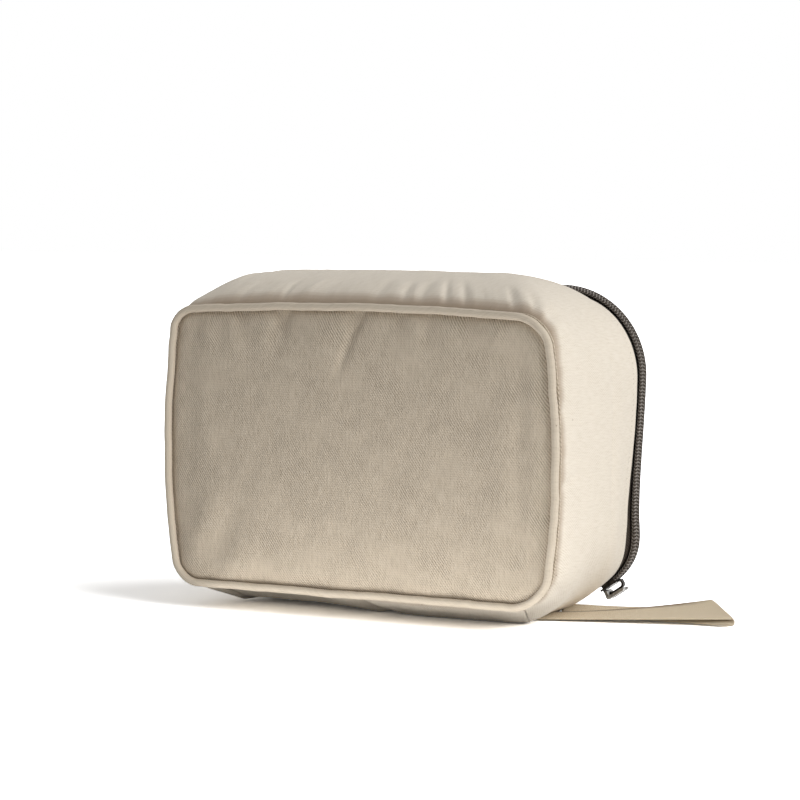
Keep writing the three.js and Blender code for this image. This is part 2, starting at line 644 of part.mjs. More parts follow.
function strapStations() {
  const angle = radians(STRAP_ANGLE);
  const along = new THREE.Vector3(Math.cos(angle), Math.sin(angle), 0);
  const across = new THREE.Vector3(-Math.sin(angle), Math.cos(angle), 0);
  const root = new THREE.Vector3(PANEL_HALF_WIDTH + SIDE_CROWN - STRAP_ROOT_INSET, STRAP_DEPTH_PLACE, 0);
  const low = GAP + STRAP_THICKNESS / 2;
  const sides = [-STRAP_WIDTH / 2, STRAP_WIDTH / 2];
  const stations = [];
  const station = (reaches, shift, heights, out, up) => {
    const ends = sides.map((side, i) => {
      const end = root.clone().addScaledVector(along, reaches[i]).addScaledVector(across, shift + side);
      end.z = heights[i];
      return end;
    });
    stations.push({ ends, normal: along.clone().multiplyScalar(out).add(new THREE.Vector3(0, 0, up)) });
  };
  const starts = (shift, height) => {
    const shares = Array.from({ length: STRAP_STEPS + 1 }, (_, i) => i / STRAP_STEPS);
    const needed = shares.map((share) => {
      const side = lerp(sides[0], sides[1], share);
      const from = root.clone().addScaledVector(across, shift + side);
      const line = (reach) => from.clone().addScaledVector(along, reach);
      return reachUnder(line, height + STRAP_THICKNESS / 2 + GAP);
    });
    const ends = [needed[0], needed[STRAP_STEPS]];
    const extra = Math.max(...needed.map((reach, i) => reach - lerp(ends[0], ends[1], shares[i])));
    return ends.map((reach) => reach + extra);
  };
  const lift = (share) => STRAP_END_LIFT * share ** 2;
  const foldAt = [STRAP_REACH, STRAP_REACH - STRAP_SKEW];
  const lowStarts = starts(STRAP_LOWER_LEG_SHIFT, low);
  for (let i = 0; i <= STRAP_STEPS; i += 1) {
    const share = i / STRAP_STEPS;
    const reaches = lowStarts.map((reach, side) => lerp(reach, foldAt[side], share));
    station(reaches, lerp(STRAP_LOWER_LEG_SHIFT, 0, share), [low, low + lift(share)], 0, -1);
  }
  for (let i = 1; i < STRAP_FOLD_STEPS; i += 1) {
    const bend = Math.PI * i / STRAP_FOLD_STEPS;
    const [out, up] = [Math.sin(bend), -Math.cos(bend)];
    const reaches = foldAt.map((reach) => reach + STRAP_FOLD_RADIUS * out);
    const z = low + STRAP_FOLD_RADIUS * (1 + up);
    station(reaches, STRAP_FOLD_SHIFT * i / STRAP_FOLD_STEPS, [z, z + lift(1)], out, up);
  }
  const highStarts = starts(STRAP_UPPER_LEG_SHIFT, low + STRAP_THICKNESS + GAP);
  for (let i = STRAP_STEPS; i >= 0; i -= 1) {
    const share = i / STRAP_STEPS;
    const z = low + lerp(STRAP_THICKNESS + GAP, 2 * STRAP_FOLD_RADIUS, share);
    const reaches = highStarts.map((reach, side) => lerp(reach, foldAt[side], share));
    const shift = lerp(STRAP_UPPER_LEG_SHIFT, STRAP_FOLD_SHIFT, share);
    station(reaches, shift, [z, z + lift(share)], 0, 1);
  }
  return stations;
}

function buildStrap() {
  const stations = strapStations();
  const half = STRAP_THICKNESS / 2;
  const points = stations.flatMap(({ ends, normal }) => [
    ends[0].clone().addScaledVector(normal, half),
    ends[1].clone().addScaledVector(normal, half),
    ends[1].clone().addScaledVector(normal, -half),
    ends[0].clone().addScaledVector(normal, -half),
  ]);
  const triangles = [];
  for (let i = 0; i < stations.length - 1; i += 1) {
    for (let j = 0; j < 4; j += 1) {
      const [a, b] = [i * 4 + j, i * 4 + (j + 1) % 4];
      triangles.push(a, b, b + 4, a, b + 4, a + 4);
    }
  }
  const last = points.length - 4;
  triangles.push(0, 2, 1, 0, 3, 2, last, last + 1, last + 2, last, last + 2, last + 3);
  add('strap_loop', geometryFrom(points, triangles), WEBBING_COLOUR);
}

buildFront();
buildPiping();
buildGusset();
buildZip();
buildSlider();
buildLid();
buildHinge();
buildStrap();

export default bag;
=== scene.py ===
import math

import bmesh
import bpy
import numpy as np
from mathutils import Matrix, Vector


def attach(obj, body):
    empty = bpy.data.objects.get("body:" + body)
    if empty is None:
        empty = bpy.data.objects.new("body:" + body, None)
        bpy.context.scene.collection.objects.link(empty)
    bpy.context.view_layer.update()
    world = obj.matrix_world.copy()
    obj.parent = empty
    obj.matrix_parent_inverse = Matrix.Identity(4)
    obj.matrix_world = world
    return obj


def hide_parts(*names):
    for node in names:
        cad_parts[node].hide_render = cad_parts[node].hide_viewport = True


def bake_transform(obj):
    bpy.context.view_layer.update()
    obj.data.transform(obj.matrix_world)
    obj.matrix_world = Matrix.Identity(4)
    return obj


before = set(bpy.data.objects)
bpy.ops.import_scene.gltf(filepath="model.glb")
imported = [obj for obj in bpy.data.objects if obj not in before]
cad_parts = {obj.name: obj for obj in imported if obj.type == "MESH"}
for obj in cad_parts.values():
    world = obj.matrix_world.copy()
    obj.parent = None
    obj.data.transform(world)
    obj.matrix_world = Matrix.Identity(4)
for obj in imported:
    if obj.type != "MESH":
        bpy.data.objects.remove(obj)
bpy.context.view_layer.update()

# Camera. It stands 1.65 m away, 28.5 degrees to the right of the front and a little above the bag, with a long
# lens. The lens and the shifts are worked out from pixels of the photograph.
MM = 0.001
IMAGE_SIDE = 800
FOCAL_PIXELS = 2880
SENSOR_WIDTH = 36
EYE = Vector((0.7873, -1.4500, 0.250))
AIM = Vector((0.0, 0.0, 0.090))
AIM_PIXEL = (407, 452)

camera_data = bpy.data.cameras.new("camera")
camera_data.sensor_width = SENSOR_WIDTH
camera_data.lens = FOCAL_PIXELS / IMAGE_SIDE * SENSOR_WIDTH
camera_data.shift_x = (IMAGE_SIDE / 2 - AIM_PIXEL[0]) / IMAGE_SIDE
camera_data.shift_y = (AIM_PIXEL[1] - IMAGE_SIDE / 2) / IMAGE_SIDE
camera_data.clip_end = 20
camera = bpy.data.objects.new("camera", camera_data)
camera.location = EYE
camera.rotation_euler = (AIM - EYE).to_track_quat("-Z", "Y").to_euler()
bpy.context.scene.collection.objects.link(camera)
bpy.context.scene.camera = camera
bpy.context.scene.view_settings.view_transform = "Standard"


# Gusset. One long strip of natural cotton canvas, with foam behind it, runs up both sides and over the top. It
# is sewn to the front panel in the piped seam, swells out behind that seam, and ends in a topstitched hem that
# lies on the zip tape. Its lower ends meet the base gusset in a seam at each bottom corner.
FRONT_Y, HEM_Y, ZIP_Y = -57 * MM, 45.5 * MM, 52 * MM
CANVAS, FOAM, GAP, LINING = 0.9 * MM, 2 * MM, 0.3 * MM, 0.4 * MM
PAD = CANVAS + GAP + FOAM
STACK = PAD + GAP + LINING
FOAM_END_Y = HEM_Y - 6.3 * MM
CORNER_START = np.array([-90, 0, 90, 180])
CORNER_SIDE = np.array([1, 1, -1, -1])
CORNER_UP = np.array([-1, 1, 1, -1])
EDGE_X = np.array([0, 1, 0, -1])
EDGE_Z = np.array([-1, 0, 1, 0])
# Each size in mm: at the piping, at the zip, and what the crown between them adds.
HALF_WIDTH, TOP, BOTTOM, RADIUS = (119, 124.5, 1.5), (174, 184, 14), (12.5, 8, -14), (17, 44, 18)
SIDE_BOW, TOP_BOW = 7 * MM, 4 * MM
CROWN_PEAK = 0.4
# Sag in mm: how far, the height of its peak, and its reach above and below that.
HEM_SAG, CHAIN_SAG = (6, 47, 50, 22), (4.6, 55, 60, 20)
# Lower right, upper right, upper left and lower left: rounder or sharper, at the front panel and at the zip.
FRONT_CORNER_EXTRA = np.array([4.5, 0, -4.5, -2.5]) * MM
ZIP_CORNER_EXTRA = np.array([0, 7, 0, 0]) * MM
# The two gussets meet a sixth of the way round each lower corner, and the upper one stops a little short of that.
BASE_SEAM, SEAM_GAP = 1 / 6, 0.004
STITCH, STITCH_OFF_HEM = 3 * MM, 5.5 * MM
HEM_STITCH = HEM_Y - STITCH_OFF_HEM - FRONT_Y
# The height on the right side at which all lines of a strip's weave are level.
GUSSET_MIDDLE = 95 * MM


def mix(a, b, share):
    """The value that lies the share of the way from a to b."""
    return a + (b - a) * share


def depth_share(y):
    """0 at the piping and before it, 1 at the hem and behind it."""
    return np.clip((y - FRONT_Y) / (HEM_Y - FRONT_Y), 0, 1)


def section(y):
    """Half width, top, bottom, corner radius, side bow and top bow of the bag's outline at depth y. Each goes
    straight from its value at the piping to its value at the zip, plus a crown that peaks at 0.4 of the depth:
    it rises as a quarter circle and falls off as a square. Base and corners rise more slowly."""
    v = depth_share(y)
    rise = np.minimum(v / CROWN_PEAK, 1)
    fall = np.maximum((v - CROWN_PEAK) / (1 - CROWN_PEAK), 0)
    crown = np.sqrt(1 - (1 - rise) ** 2) * (1 - fall ** 2)
    slow = (1 - (1 - rise) ** 1.15) * (1 - fall ** 2)
    half, top, bottom, radius = (mix(at_piping, at_zip, v) + added * bulge for (at_piping, at_zip, added), bulge
                                 in zip((HALF_WIDTH, TOP, BOTTOM, RADIUS), (crown, crown, slow, slow)))
    return half * MM, top * MM, np.maximum(bottom, 0) * MM, radius * MM, SIDE_BOW * (1 - v), TOP_BOW * (1 - v)


def smooth(value):
    """A smooth step from 0 to 1."""
    value = np.clip(value, 0, 1)
    return value * value * (3 - 2 * value)


def sag(y, z):
    """How far the sides lean in towards the zip, where the soft bag sags: a bell over the height, wider above
    its peak than below."""
    at_hem, at_chain = (far * MM * np.exp(-((z - peak * MM) / np.where(z > peak * MM, above * MM, below * MM)) ** 2)
                        for far, peak, above, below in (HEM_SAG, CHAIN_SAG))
    return smooth((y - 10 * MM) / (35 * MM)) * mix(at_hem, at_chain, smooth((y - HEM_Y) / (5 * MM)))


def skin(u, y, inset=0.0):
    """Points on the bag's outer face, moved in by inset, and the outward direction there. The walk u goes once
    round the outline in eight stretches, from the left end of the base: the even ones are the four edges and
    the odd ones the corners. Sides and top bow outwards by a curve of the fourth power."""
    u, y, inset = np.broadcast_arrays(np.asarray(u, float) % 8, y, inset)
    half, top, bottom, radius, side_bow, top_bow = section(y)
    stretch = np.floor(u).astype(int)
    share = u - stretch
    side, round_corner = stretch // 2, stretch % 2 == 1
    v = depth_share(y)
    before, radius = (radius + FRONT_CORNER_EXTRA[corner] * (1 - v) ** 2 + ZIP_CORNER_EXTRA[corner] * v
                      for corner in (side - 1, side))
    angle = np.radians(CORNER_START[side] + 90 * share)
    dx = np.where(round_corner, np.cos(angle), EDGE_X[side])
    dz = np.where(round_corner, np.sin(angle), EDGE_Z[side])
    edge_x = np.where(EDGE_X[side] == 0, -EDGE_Z[side] * mix(before - half, half - radius, share),
                      EDGE_X[side] * half)
    climb = np.where(EDGE_X[side] > 0, mix(bottom + before, top - radius, share),
                     mix(top - before, bottom + radius, share))
    edge_z = np.where(EDGE_Z[side] == 0, climb, np.where(EDGE_Z[side] > 0, top, bottom))
    corner_x = CORNER_SIDE[side] * (half - radius) + radius * dx
    corner_z = np.where(CORNER_UP[side] > 0, top - radius, bottom + radius) + radius * dz
    x = np.where(round_corner, corner_x, edge_x)
    z = np.where(round_corner, corner_z, edge_z)
    middle = (top + bottom) / 2
    up, out = (z - middle) / (top - middle), x / half
    x = x + (side_bow * (1 - up ** 2) - sag(y, z)) * out ** 4 * np.sign(x)
    # The hem dips at the upper right, where it shows the tape beside the chain.
    dip = 2.2 * MM * np.exp(-((x - 82 * MM) / (24 * MM)) ** 2 - ((y - 43 * MM) / (6 * MM)) ** 2)
    z = z + (top_bow * (1 - out ** 2) - dip) * np.maximum(up, 0) ** 4
    return np.stack([x - inset * dx, y + 0 * x, z - inset * dz], -1), np.stack([dx, 0 * dx, dz], -1)


def spaced(first, last, count, y=FRONT_Y):
    """Values of the walk from first to last that are equally far apart along the outline at depth y, and how
    far along it each of them is: the running length is found on a fine walk and then read backwards."""
    fine = np.linspace(first, last, 4001)
    steps = np.linalg.norm(np.diff(skin(fine, y)[0], axis=0), axis=1)
    run = np.concatenate([[0], np.cumsum(steps)])
    lengths = np.linspace(0, run[-1], count)
    return np.interp(lengths, run, fine), lengths


def bell(along, across, rows):
    """Soft folds on a sheet, in metres: each row (place along, place across, angle, length, width, height) is a
    ridge with a bell-shaped section both ways, and a negative height is a hollow. All values are in mm."""
    total = np.zeros(np.broadcast(along, across).shape)
    for a, b, angle, length, width, height in rows:
        da, db = along / MM - a, across / MM - b
        turn = math.radians(angle)
        lengthwise = da * math.cos(turn) + db * math.sin(turn)
        crosswise = db * math.cos(turn) - da * math.sin(turn)
        total = total + height * np.exp(-(lengthwise / length) ** 2 - (crosswise / width) ** 2)
    return total * MM


def uneven(along, across, wave, seed, count=9):
    """Smooth unevenness between about -1 and 1: the mean of plane waves of about one wavelength, in seeded
    directions and phases."""
    chance = np.random.default_rng(seed)
    total = 0
    for direction, phase, stretch in zip(chance.uniform(0, np.pi, count), chance.uniform(0, 6.3, count),
                                         chance.uniform(0.7, 1.5, count)):
        distance = along * math.cos(direction) + across * math.sin(direction)
        total = total + np.sin(2 * np.pi * distance / (wave * stretch) + phase)
    return total * 2 / count


def grid_mesh(name, points, cloth, wrap_rows=False, wrap_columns=False, flip=False, caps=False, merge=False):
    """A smooth mesh of quads from a grid of points, with a UV map named cloth that holds the metres along the
    two ways of the grid. A wrapped way joins its last line to its first, so cloth has one line more there.
    caps closes both ends of a tube, and merge closes poles and seams."""
    rows, columns = points.shape[:2]
    i, j = np.meshgrid(np.arange(rows - 1 + wrap_rows), np.arange(columns - 1 + wrap_columns), indexing="ij")
    i, j = i.ravel(), j.ravel()
    corners = [(i, j), (i + 1, j), (i + 1, j + 1), (i, j + 1)]
    if flip:
        corners = corners[::-1]
    faces = np.stack([(a % rows) * columns + b % columns for a, b in corners], 1).tolist()
    maps = np.stack([cloth[a, b] for a, b in corners], 1).reshape(-1, 2)
    if caps:
        first, last = list(range(columns)), [(rows - 1) * columns + k for k in range(columns)]
        ends = [first, last[::-1]] if not flip else [first[::-1], last]
        faces += ends
        flat = np.concatenate([cloth.reshape(-1, 2)[:columns], cloth.reshape(-1, 2)[-columns:]])
        maps = np.concatenate([maps, flat])
    mesh = bpy.data.meshes.new(name)
    mesh.from_pydata(points.reshape(-1, 3).tolist(), [], faces)
    layer = mesh.uv_layers.new(name="cloth")
    layer.data.foreach_set("uv", maps.astype(np.float32).ravel())
    mesh.polygons.foreach_set("use_smooth", np.ones(len(mesh.polygons), bool))
    if merge:
        shape = bmesh.new()
        shape.from_mesh(mesh)
        bmesh.ops.remove_doubles(shape, verts=shape.verts, dist=1e-6)
        shape.to_mesh(mesh)
        shape.free()
    mesh.update()
    piece = bpy.data.objects.new(name, mesh)
    bpy.context.scene.collection.objects.link(piece)
    return piece


def lengths_across(points):
    """Running length along a list of points."""
    return np.concatenate([[0], np.cumsum(np.linalg.norm(np.diff(points, axis=0), axis=1))])


def carried(name, walk, lengths, profile, push=None, closed_walk=False, flip=False):
    """A closed profile of (inset, y) points carried along the walk. push gives each point's distance outwards
    from its length along the walk, its place and its inset. Each line of the cloth has its own running length,
    so the weave keeps its size round the corners; the lines are level where the strip lies furthest right."""
    inset, y = profile[:, 0], profile[:, 1]
    points, out = skin(walk[:, None], y[None, :], inset[None, :])
    rail = np.concatenate([points, points[:1]]) if closed_walk else points
    run = np.cumsum(np.linalg.norm(np.diff(rail, axis=0, prepend=rail[:1]), axis=-1), axis=0)
    run = run - run[np.argmax(points[:, 0, 0] - np.abs(points[:, 0, 2] - GUSSET_MIDDLE))]
    run = np.concatenate([run, run[:, :1]], 1)
    if push is not None:
        points = points + out * push(lengths[:, None], points, inset[None, :])[..., None]
    loop = lengths_across(np.vstack([profile, profile[:1]]))
    cloth = np.stack(np.broadcast_arrays(run, loop[None, :]), -1)
    return grid_mesh(name, points, cloth, wrap_rows=closed_walk, wrap_columns=True, flip=flip, caps=not closed_walk)


def linear(code):
    """The linear colour of an sRGB hex code: each channel by the standard curve."""
    channels = np.array([int(code[i:i + 2], 16) for i in (1, 3, 5)]) / 255
    curved = np.where(channels <= 0.04045, channels / 12.92, ((channels + 0.055) / 1.055) ** 2.4)
    return (*(float(c) for c in curved), 1.0)


def add_node(tree, kind, inputs=(), **settings):
    """Adds one node with its settings. Each input is a value, or the output socket that it is linked from."""
    new = tree.nodes.new("ShaderNode" + kind)
    for name, value in settings.items():
        setattr(new, name, value)
    for name, value in dict(inputs).items():
        if isinstance(value, bpy.types.NodeSocket):
            tree.links.new(value, new.inputs[name])
        else:
            new.inputs[name].default_value = value
    return new


def blank(name):
    """A new material and its node tree, still empty."""
    material = bpy.data.materials.new(name)
    material.use_nodes = True
    tree = material.node_tree
    tree.nodes.clear()
    return material, tree


def surface(tree, colour, looks, height=None, relief=0.0, strength=1.0):
    """The shader and the output of a material. looks holds the shader's other inputs, and height, where it is
    given, roughens the surface by relief."""
    if height is not None:
        bump = add_node(tree, "Bump", {"Height": height, "Strength": strength, "Distance": relief})
        looks = {**looks, "Normal": bump.outputs["Normal"]}
    shader = add_node(tree, "BsdfPrincipled", {"Base Color": colour, **looks})
    add_node(tree, "OutputMaterial", {"Surface": shader.outputs["BSDF"]})


def cloth_place(tree):
    """Metres along and across the cloth."""
    return add_node(tree, "UVMap", uv_map="cloth").outputs["UV"]


def calculate(tree, operation, *values):
    """The result of one Math node."""
    return add_node(tree, "Math", dict(enumerate(values)), operation=operation).outputs[0]


def rescale(tree, value, start, end, low=0.0, high=1.0, **settings):
    """The value, taken from between start and end to between low and high."""
    return add_node(tree, "MapRange", {"Value": value, "From Min": start, "From Max": end, "To Min": low,
                                       "To Max": high}, **settings).outputs["Result"]


def noise(tree, place, scale, detail=3.0, **inputs):
    """Cloudy noise between 0 and 1, with scale features to the metre."""
    return add_node(tree, "TexNoise", {"Vector": place, "Scale": scale, "Detail": detail, **inputs}).outputs["Fac"]


# The wave texture repeats every 0.314 of its scale.
WAVE_REPEAT = 0.314


def stripes(tree, place, pitch, direction="X", **inputs):
    """Soft stripes, one pitch apart."""
    return add_node(tree, "TexWave", {"Vector": place, "Scale": WAVE_REPEAT / pitch, **inputs}, wave_type="BANDS",
                    bands_direction=direction).outputs["Fac"]


def tinted(tree, share, colour, code):
    """The colour, mixed by the share with the even colour of a hex code."""
    return add_node(tree, "Mix", {"Factor": share, 6: colour, 7: linear(code)}, data_type="RGBA").outputs[2]


def ramp(tree, factor, stops):
    """A colour ramp with (position, hex code) stops; its colour output."""
    new = add_node(tree, "ValToRGB", {"Fac": factor})
    new.color_ramp.elements[0].position, new.color_ramp.elements[1].position = stops[0][0], stops[-1][0]
    for position, _ in stops[1:-1]:
        new.color_ramp.elements.new(position)
    for element, (_, code) in zip(new.color_ramp.elements, stops):
        element.color = linear(code)
    return new.outputs["Color"]


TWILL_PITCH, WEFT_PITCH, WARP_PITCH = 1.3 * MM, 1.33 * MM, 0.9 * MM
TWILL_SLANT = math.radians(-34)
YARN_WANDER = (1.2 * MM, 0.9 * MM, 0)
# Features to the metre: of the yarns' wander, the patches of twill, the flecks, and the slubs across and along.
WANDER_SCALE, PATCH_SCALE, FLECK_SCALE, SLUB_SCALE = 120.0, 42.0, 95.0, (900.0, 130.0, 1.0)
# One cell in ten has a fleck.
FLECK_CHOICE = 0.9
NEEDLE_HOLE = 0.9 * MM


def canvas_material(name, pale, middle, deep, twill=1.0, relief=0.22 * MM, sewn=False):
    """Cotton canvas, matt and a little hairy: slanted twill ridges, as strong as twill and uneven from patch to
    patch, over a fine plain weave, with slubby yarns and a few dark flecks of seed. A sewn strip has brownish
    painted shade where it dips into the piped seam, and a row of needle holes along the hem."""
    material, tree = blank(name)
    cloth = cloth_place(tree)
    wander = add_node(tree, "TexNoise", {"Vector": cloth, "Scale": WANDER_SCALE, "Detail": 3.0})
    shaken = add_node(tree, "VectorMath", {0: wander.outputs["Color"], 1: YARN_WANDER},
                      operation="MULTIPLY").outputs["Vector"]
    shaken = add_node(tree, "VectorMath", {0: cloth, 1: shaken}, operation="ADD").outputs["Vector"]
    turned = add_node(tree, "Mapping", {"Vector": shaken, "Rotation": (0, 0, TWILL_SLANT)}).outputs["Vector"]
    ridges = calculate(tree, "SUBTRACT", stripes(tree, turned, TWILL_PITCH), 0.5)
    weave = calculate(tree, "ADD", stripes(tree, shaken, WEFT_PITCH, "Y"), stripes(tree, shaken, WARP_PITCH))
    patches = noise(tree, cloth, PATCH_SCALE, 4.0, Roughness=0.6)
    shown = rescale(tree, patches, 0.38, 0.64, 0.12 * twill, 0.75 * twill)
    slants = calculate(tree, "MULTIPLY_ADD", ridges, shown, 0.2)
    ribs = calculate(tree, "MULTIPLY_ADD", weave, 0.1, slants)
    stretched = add_node(tree, "Mapping", {"Vector": cloth, "Scale": SLUB_SCALE}).outputs["Vector"]
    height = calculate(tree, "MULTIPLY_ADD", noise(tree, stretched, 1.0), 0.55, ribs)
    colour = ramp(tree, height, [(0.2, deep), (0.55, middle), (0.95, pale)])
    specks = add_node(tree, "TexVoronoi", {"Vector": cloth, "Scale": FLECK_SCALE}, feature="F1")
    dots = rescale(tree, specks.outputs["Distance"], 0.025, 0.05, 0.6, 0.0)
    chosen = add_node(tree, "SeparateColor", {"Color": specks.outputs["Color"]}).outputs["Red"]
    flecks = calculate(tree, "MULTIPLY", dots, calculate(tree, "GREATER_THAN", chosen, FLECK_CHOICE))
    colour = tinted(tree, flecks, colour, "#6e5238")
    if sewn:
        place = add_node(tree, "SeparateXYZ", {"Vector": shaken})
        # Painted shade: the strip is tinted brownish where it dips into the piped seam, the crevice that lies in
        # shade.
        dip = rescale(tree, place.outputs["Y"], 1 * MM, 6 * MM, 0.55, 0.0, interpolation_type="SMOOTHSTEP")
        colour = tinted(tree, dip, colour, "#94775a")
        off_line = calculate(tree, "ABSOLUTE", calculate(tree, "SUBTRACT", place.outputs["Y"], HEM_STITCH))
        on_line = calculate(tree, "LESS_THAN", off_line, NEEDLE_HOLE / 2)
        beat = calculate(tree, "FLOORED_MODULO", place.outputs["X"], STITCH)
        hole = calculate(tree, "MULTIPLY", on_line, calculate(tree, "LESS_THAN", beat, NEEDLE_HOLE))
        colour = tinted(tree, calculate(tree, "MULTIPLY", hole, 0.55), colour, "#7d6a52")
    surface(tree, colour, {"Roughness": 0.92, "Specular IOR Level": 0.2, "Sheen Weight": 0.15,
                           "Sheen Roughness": 0.5}, height, relief)
    return material


CREAM_TONES = ("#efe6d9", "#e5dbcb", "#cfc2ae")
CREAM_WEAVE = {"twill": 0.4, "relief": 0.2 * MM}
CREAM_CANVAS = canvas_material("cream cotton canvas", *CREAM_TONES, **CREAM_WEAVE)
SEWN_CANVAS = canvas_material("cream cotton canvas, seamed and hemmed", *CREAM_TONES, **CREAM_WEAVE, sewn=True)

chance = np.random.default_rng(11)
GUSSET_STATIONS = 520
gusset_walk, gusset_run = spaced(1 + BASE_SEAM + SEAM_GAP, 8 - BASE_SEAM - SEAM_GAP, GUSSET_STATIONS)
gusset_length = gusset_run[-1] / MM
pucker_places = np.arange(8, gusset_length, 13)
pucker_places = pucker_places + chance.uniform(-4, 4, len(pucker_places))
GUSSET_PUCKERS = [(a, chance.uniform(2, 7), 90 + chance.uniform(-18, 18), chance.uniform(7, 15),
                   chance.uniform(2.2, 4.2), chance.uniform(-0.9, 0.5)) for a in pucker_places]
fold_places = np.arange(20, gusset_length, 36)
GUSSET_FOLDS = [(a + chance.uniform(-9, 9), chance.uniform(35, 75), 90 + chance.uniform(-25, 25),
                 chance.uniform(18, 34), chance.uniform(6, 11), chance.uniform(-0.7, 0.7)) for a in fold_places]
PLACED_FOLDS = [((-108, -40, 178), (14, 24, 14), -4.0), ((-90, 0, 190), (4, 30, 25), 1.0),
                ((-84, 0, 192), (4, 30, 25), -1.0), ((92, -5, 190), (24, 38, 24), -1.4),
                ((104, -40, 4), (12, 16, 12), -1.5), ((124, 8, 95), (20, 3.5, 60), -0.8),
                ((124, 20, 95), (20, 7, 50), 0.5)]


def placed_folds(x, y, z):
    """Folds at their own places, in mm: bells about a point (x, y, z), each (place, reach in x, y and z, height)."""
    total = np.zeros(x.shape)
    for place, reach, height in PLACED_FOLDS:
        distance = sum(((value / MM - middle) / far) ** 2 for value, middle, far in zip((x, y, z), place, reach))
        total = total + height * np.exp(-distance)
    return total * MM


def gusset_push(run, spots, inset):
    """The outer face dips into the piped seam, with fine gathers there; puckers and long soft folds run back
    from it, and the hem has a line of stitching. The foam behind follows the same folds."""
    x, y, z = spots[..., 0], spots[..., 1], spots[..., 2]
    depth = y - FRONT_Y
    outer = inset < CANVAS / 2
    puckers = 1.5 * bell(run, depth, GUSSET_PUCKERS) * np.clip(depth / (3 * MM), 0, 1)
    soft = bell(run, depth, GUSSET_FOLDS) + 0.25 * MM * uneven(run, depth, 30 * MM, 5)
    gathers = 0.3 * MM * uneven(run, 0 * run, 5 * MM, 6) * np.exp(-depth / (6 * MM))
    crevice = -2.4 * MM * np.exp(-depth / (3 * MM)) * outer
    hem_fade = np.clip((HEM_Y - y) / (8 * MM), 0.25, 1)
    stitches = 0.75 + 0.25 * np.sign(np.sin(2 * np.pi * run / STITCH))
    stitch_line = -0.3 * MM * stitches * np.exp(-((depth - HEM_STITCH) / (0.7 * MM)) ** 2) * outer
    total = (puckers + soft * np.clip(depth / (12 * MM), 0, 1)) * hem_fade + stitch_line + crevice + gathers * outer
    return total + placed_folds(x, y, z) * hem_fade


hem_turn = np.linspace(0, np.pi, 6)
hem_round = np.c_[CANVAS / 2 * (1 - np.cos(hem_turn)), HEM_Y - CANVAS / 2 * (1 - np.sin(hem_turn))]
outer_y = np.concatenate([FRONT_Y + (FOAM_END_Y - FRONT_Y) * np.linspace(0, 1, 62) ** 1.25,
                          np.linspace(FOAM_END_Y, HEM_Y - CANVAS / 2, 9)[1:-1]])
inner_y = np.linspace(FOAM_END_Y, FRONT_Y, 14)
gusset_profile = np.vstack([np.c_[np.zeros(len(outer_y)), outer_y], hem_round,
                            [[CANVAS, FOAM_END_Y + 0.3 * MM]], np.c_[np.full(len(inner_y), PAD), inner_y]])
gusset = carried("zip_gusset_canvas", gusset_walk, gusset_run, gusset_profile, gusset_push, flip=True)
gusset.data.materials.append(SEWN_CANVAS)
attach(gusset, "bag_body")
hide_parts("zip_gusset", "gusset_padding")


# Base gusset. A second strip of the same canvas under the bag. The weight of the bag presses it flat on the
# ground, and it swells out below the piped seam in two soft bulges with a pinched notch between them.
BASE_STATIONS = 240
base_walk, base_run = spaced(8 - BASE_SEAM, 9 + BASE_SEAM, BASE_STATIONS)
BASE_FOLDS = [(-4, -46, 68, 26, 5.5, -3.6), (-25, -48, 90, 12, 16, 0.9), (42, -50, 90, 12, 26, 1.2),
              (-68, -50, 80, 10, 9, -0.8), (98, -38, 90, 14, 14, -1.6)]


def base_lift(x, y):
    """How far the seam draws the left half of the base up: a smooth step along x times a bell across y."""
    return -4.5 * MM * smooth((-x + 5 * MM) / (50 * MM)) * np.exp(-((y + 38 * MM) / (20 * MM)) ** 2)


def base_push(run, spots, inset):
    """Bulges and the notch; the left half is drawn up by the seam."""
    x, y = spots[..., 0], spots[..., 1]
    depth = y - FRONT_Y
    end = np.minimum(run - base_run[0], base_run[-1] - run)
    ridge = 0.8 * MM * np.exp(-(end / (1.1 * MM)) ** 2)
    soft = bell(x, y, BASE_FOLDS) + 0.3 * MM * uneven(x, y, 26 * MM, 8) + base_lift(x, y) + ridge
    crevice = -1.8 * MM * np.exp(-depth / (2.2 * MM)) * (inset < CANVAS / 2)
    return soft * np.clip(depth / (3 * MM), 0, 1) + crevice


base_outer_y = FRONT_Y + (HEM_Y - FRONT_Y) * np.linspace(0, 1, 70) ** 1.3
base_profile = np.vstack([np.c_[np.zeros(len(base_outer_y)), base_outer_y],
                          np.c_[np.full(12, CANVAS), np.linspace(HEM_Y, FRONT_Y, 12)]])
base = carried("base_gusset_canvas", base_walk, base_run, base_profile, base_push, flip=True)
spots = np.empty(len(base.data.vertices) * 3, np.float32)
base.data.vertices.foreach_get("co", spots)
spots = spots.reshape(-1, len(base_profile), 3)
# The ground keeps the outer face just above itself, and the cloth keeps the inner face above that.
floor_gap = np.where(np.arange(len(base_profile)) < len(base_outer_y), 0.2 * MM, 1 * MM)
spots[..., 2] = np.maximum(spots[..., 2], floor_gap)
base.data.vertices.foreach_set("co", spots.ravel())
base.data.materials.append(SEWN_CANVAS)
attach(base, "bag_body")
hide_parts("base_gusset")
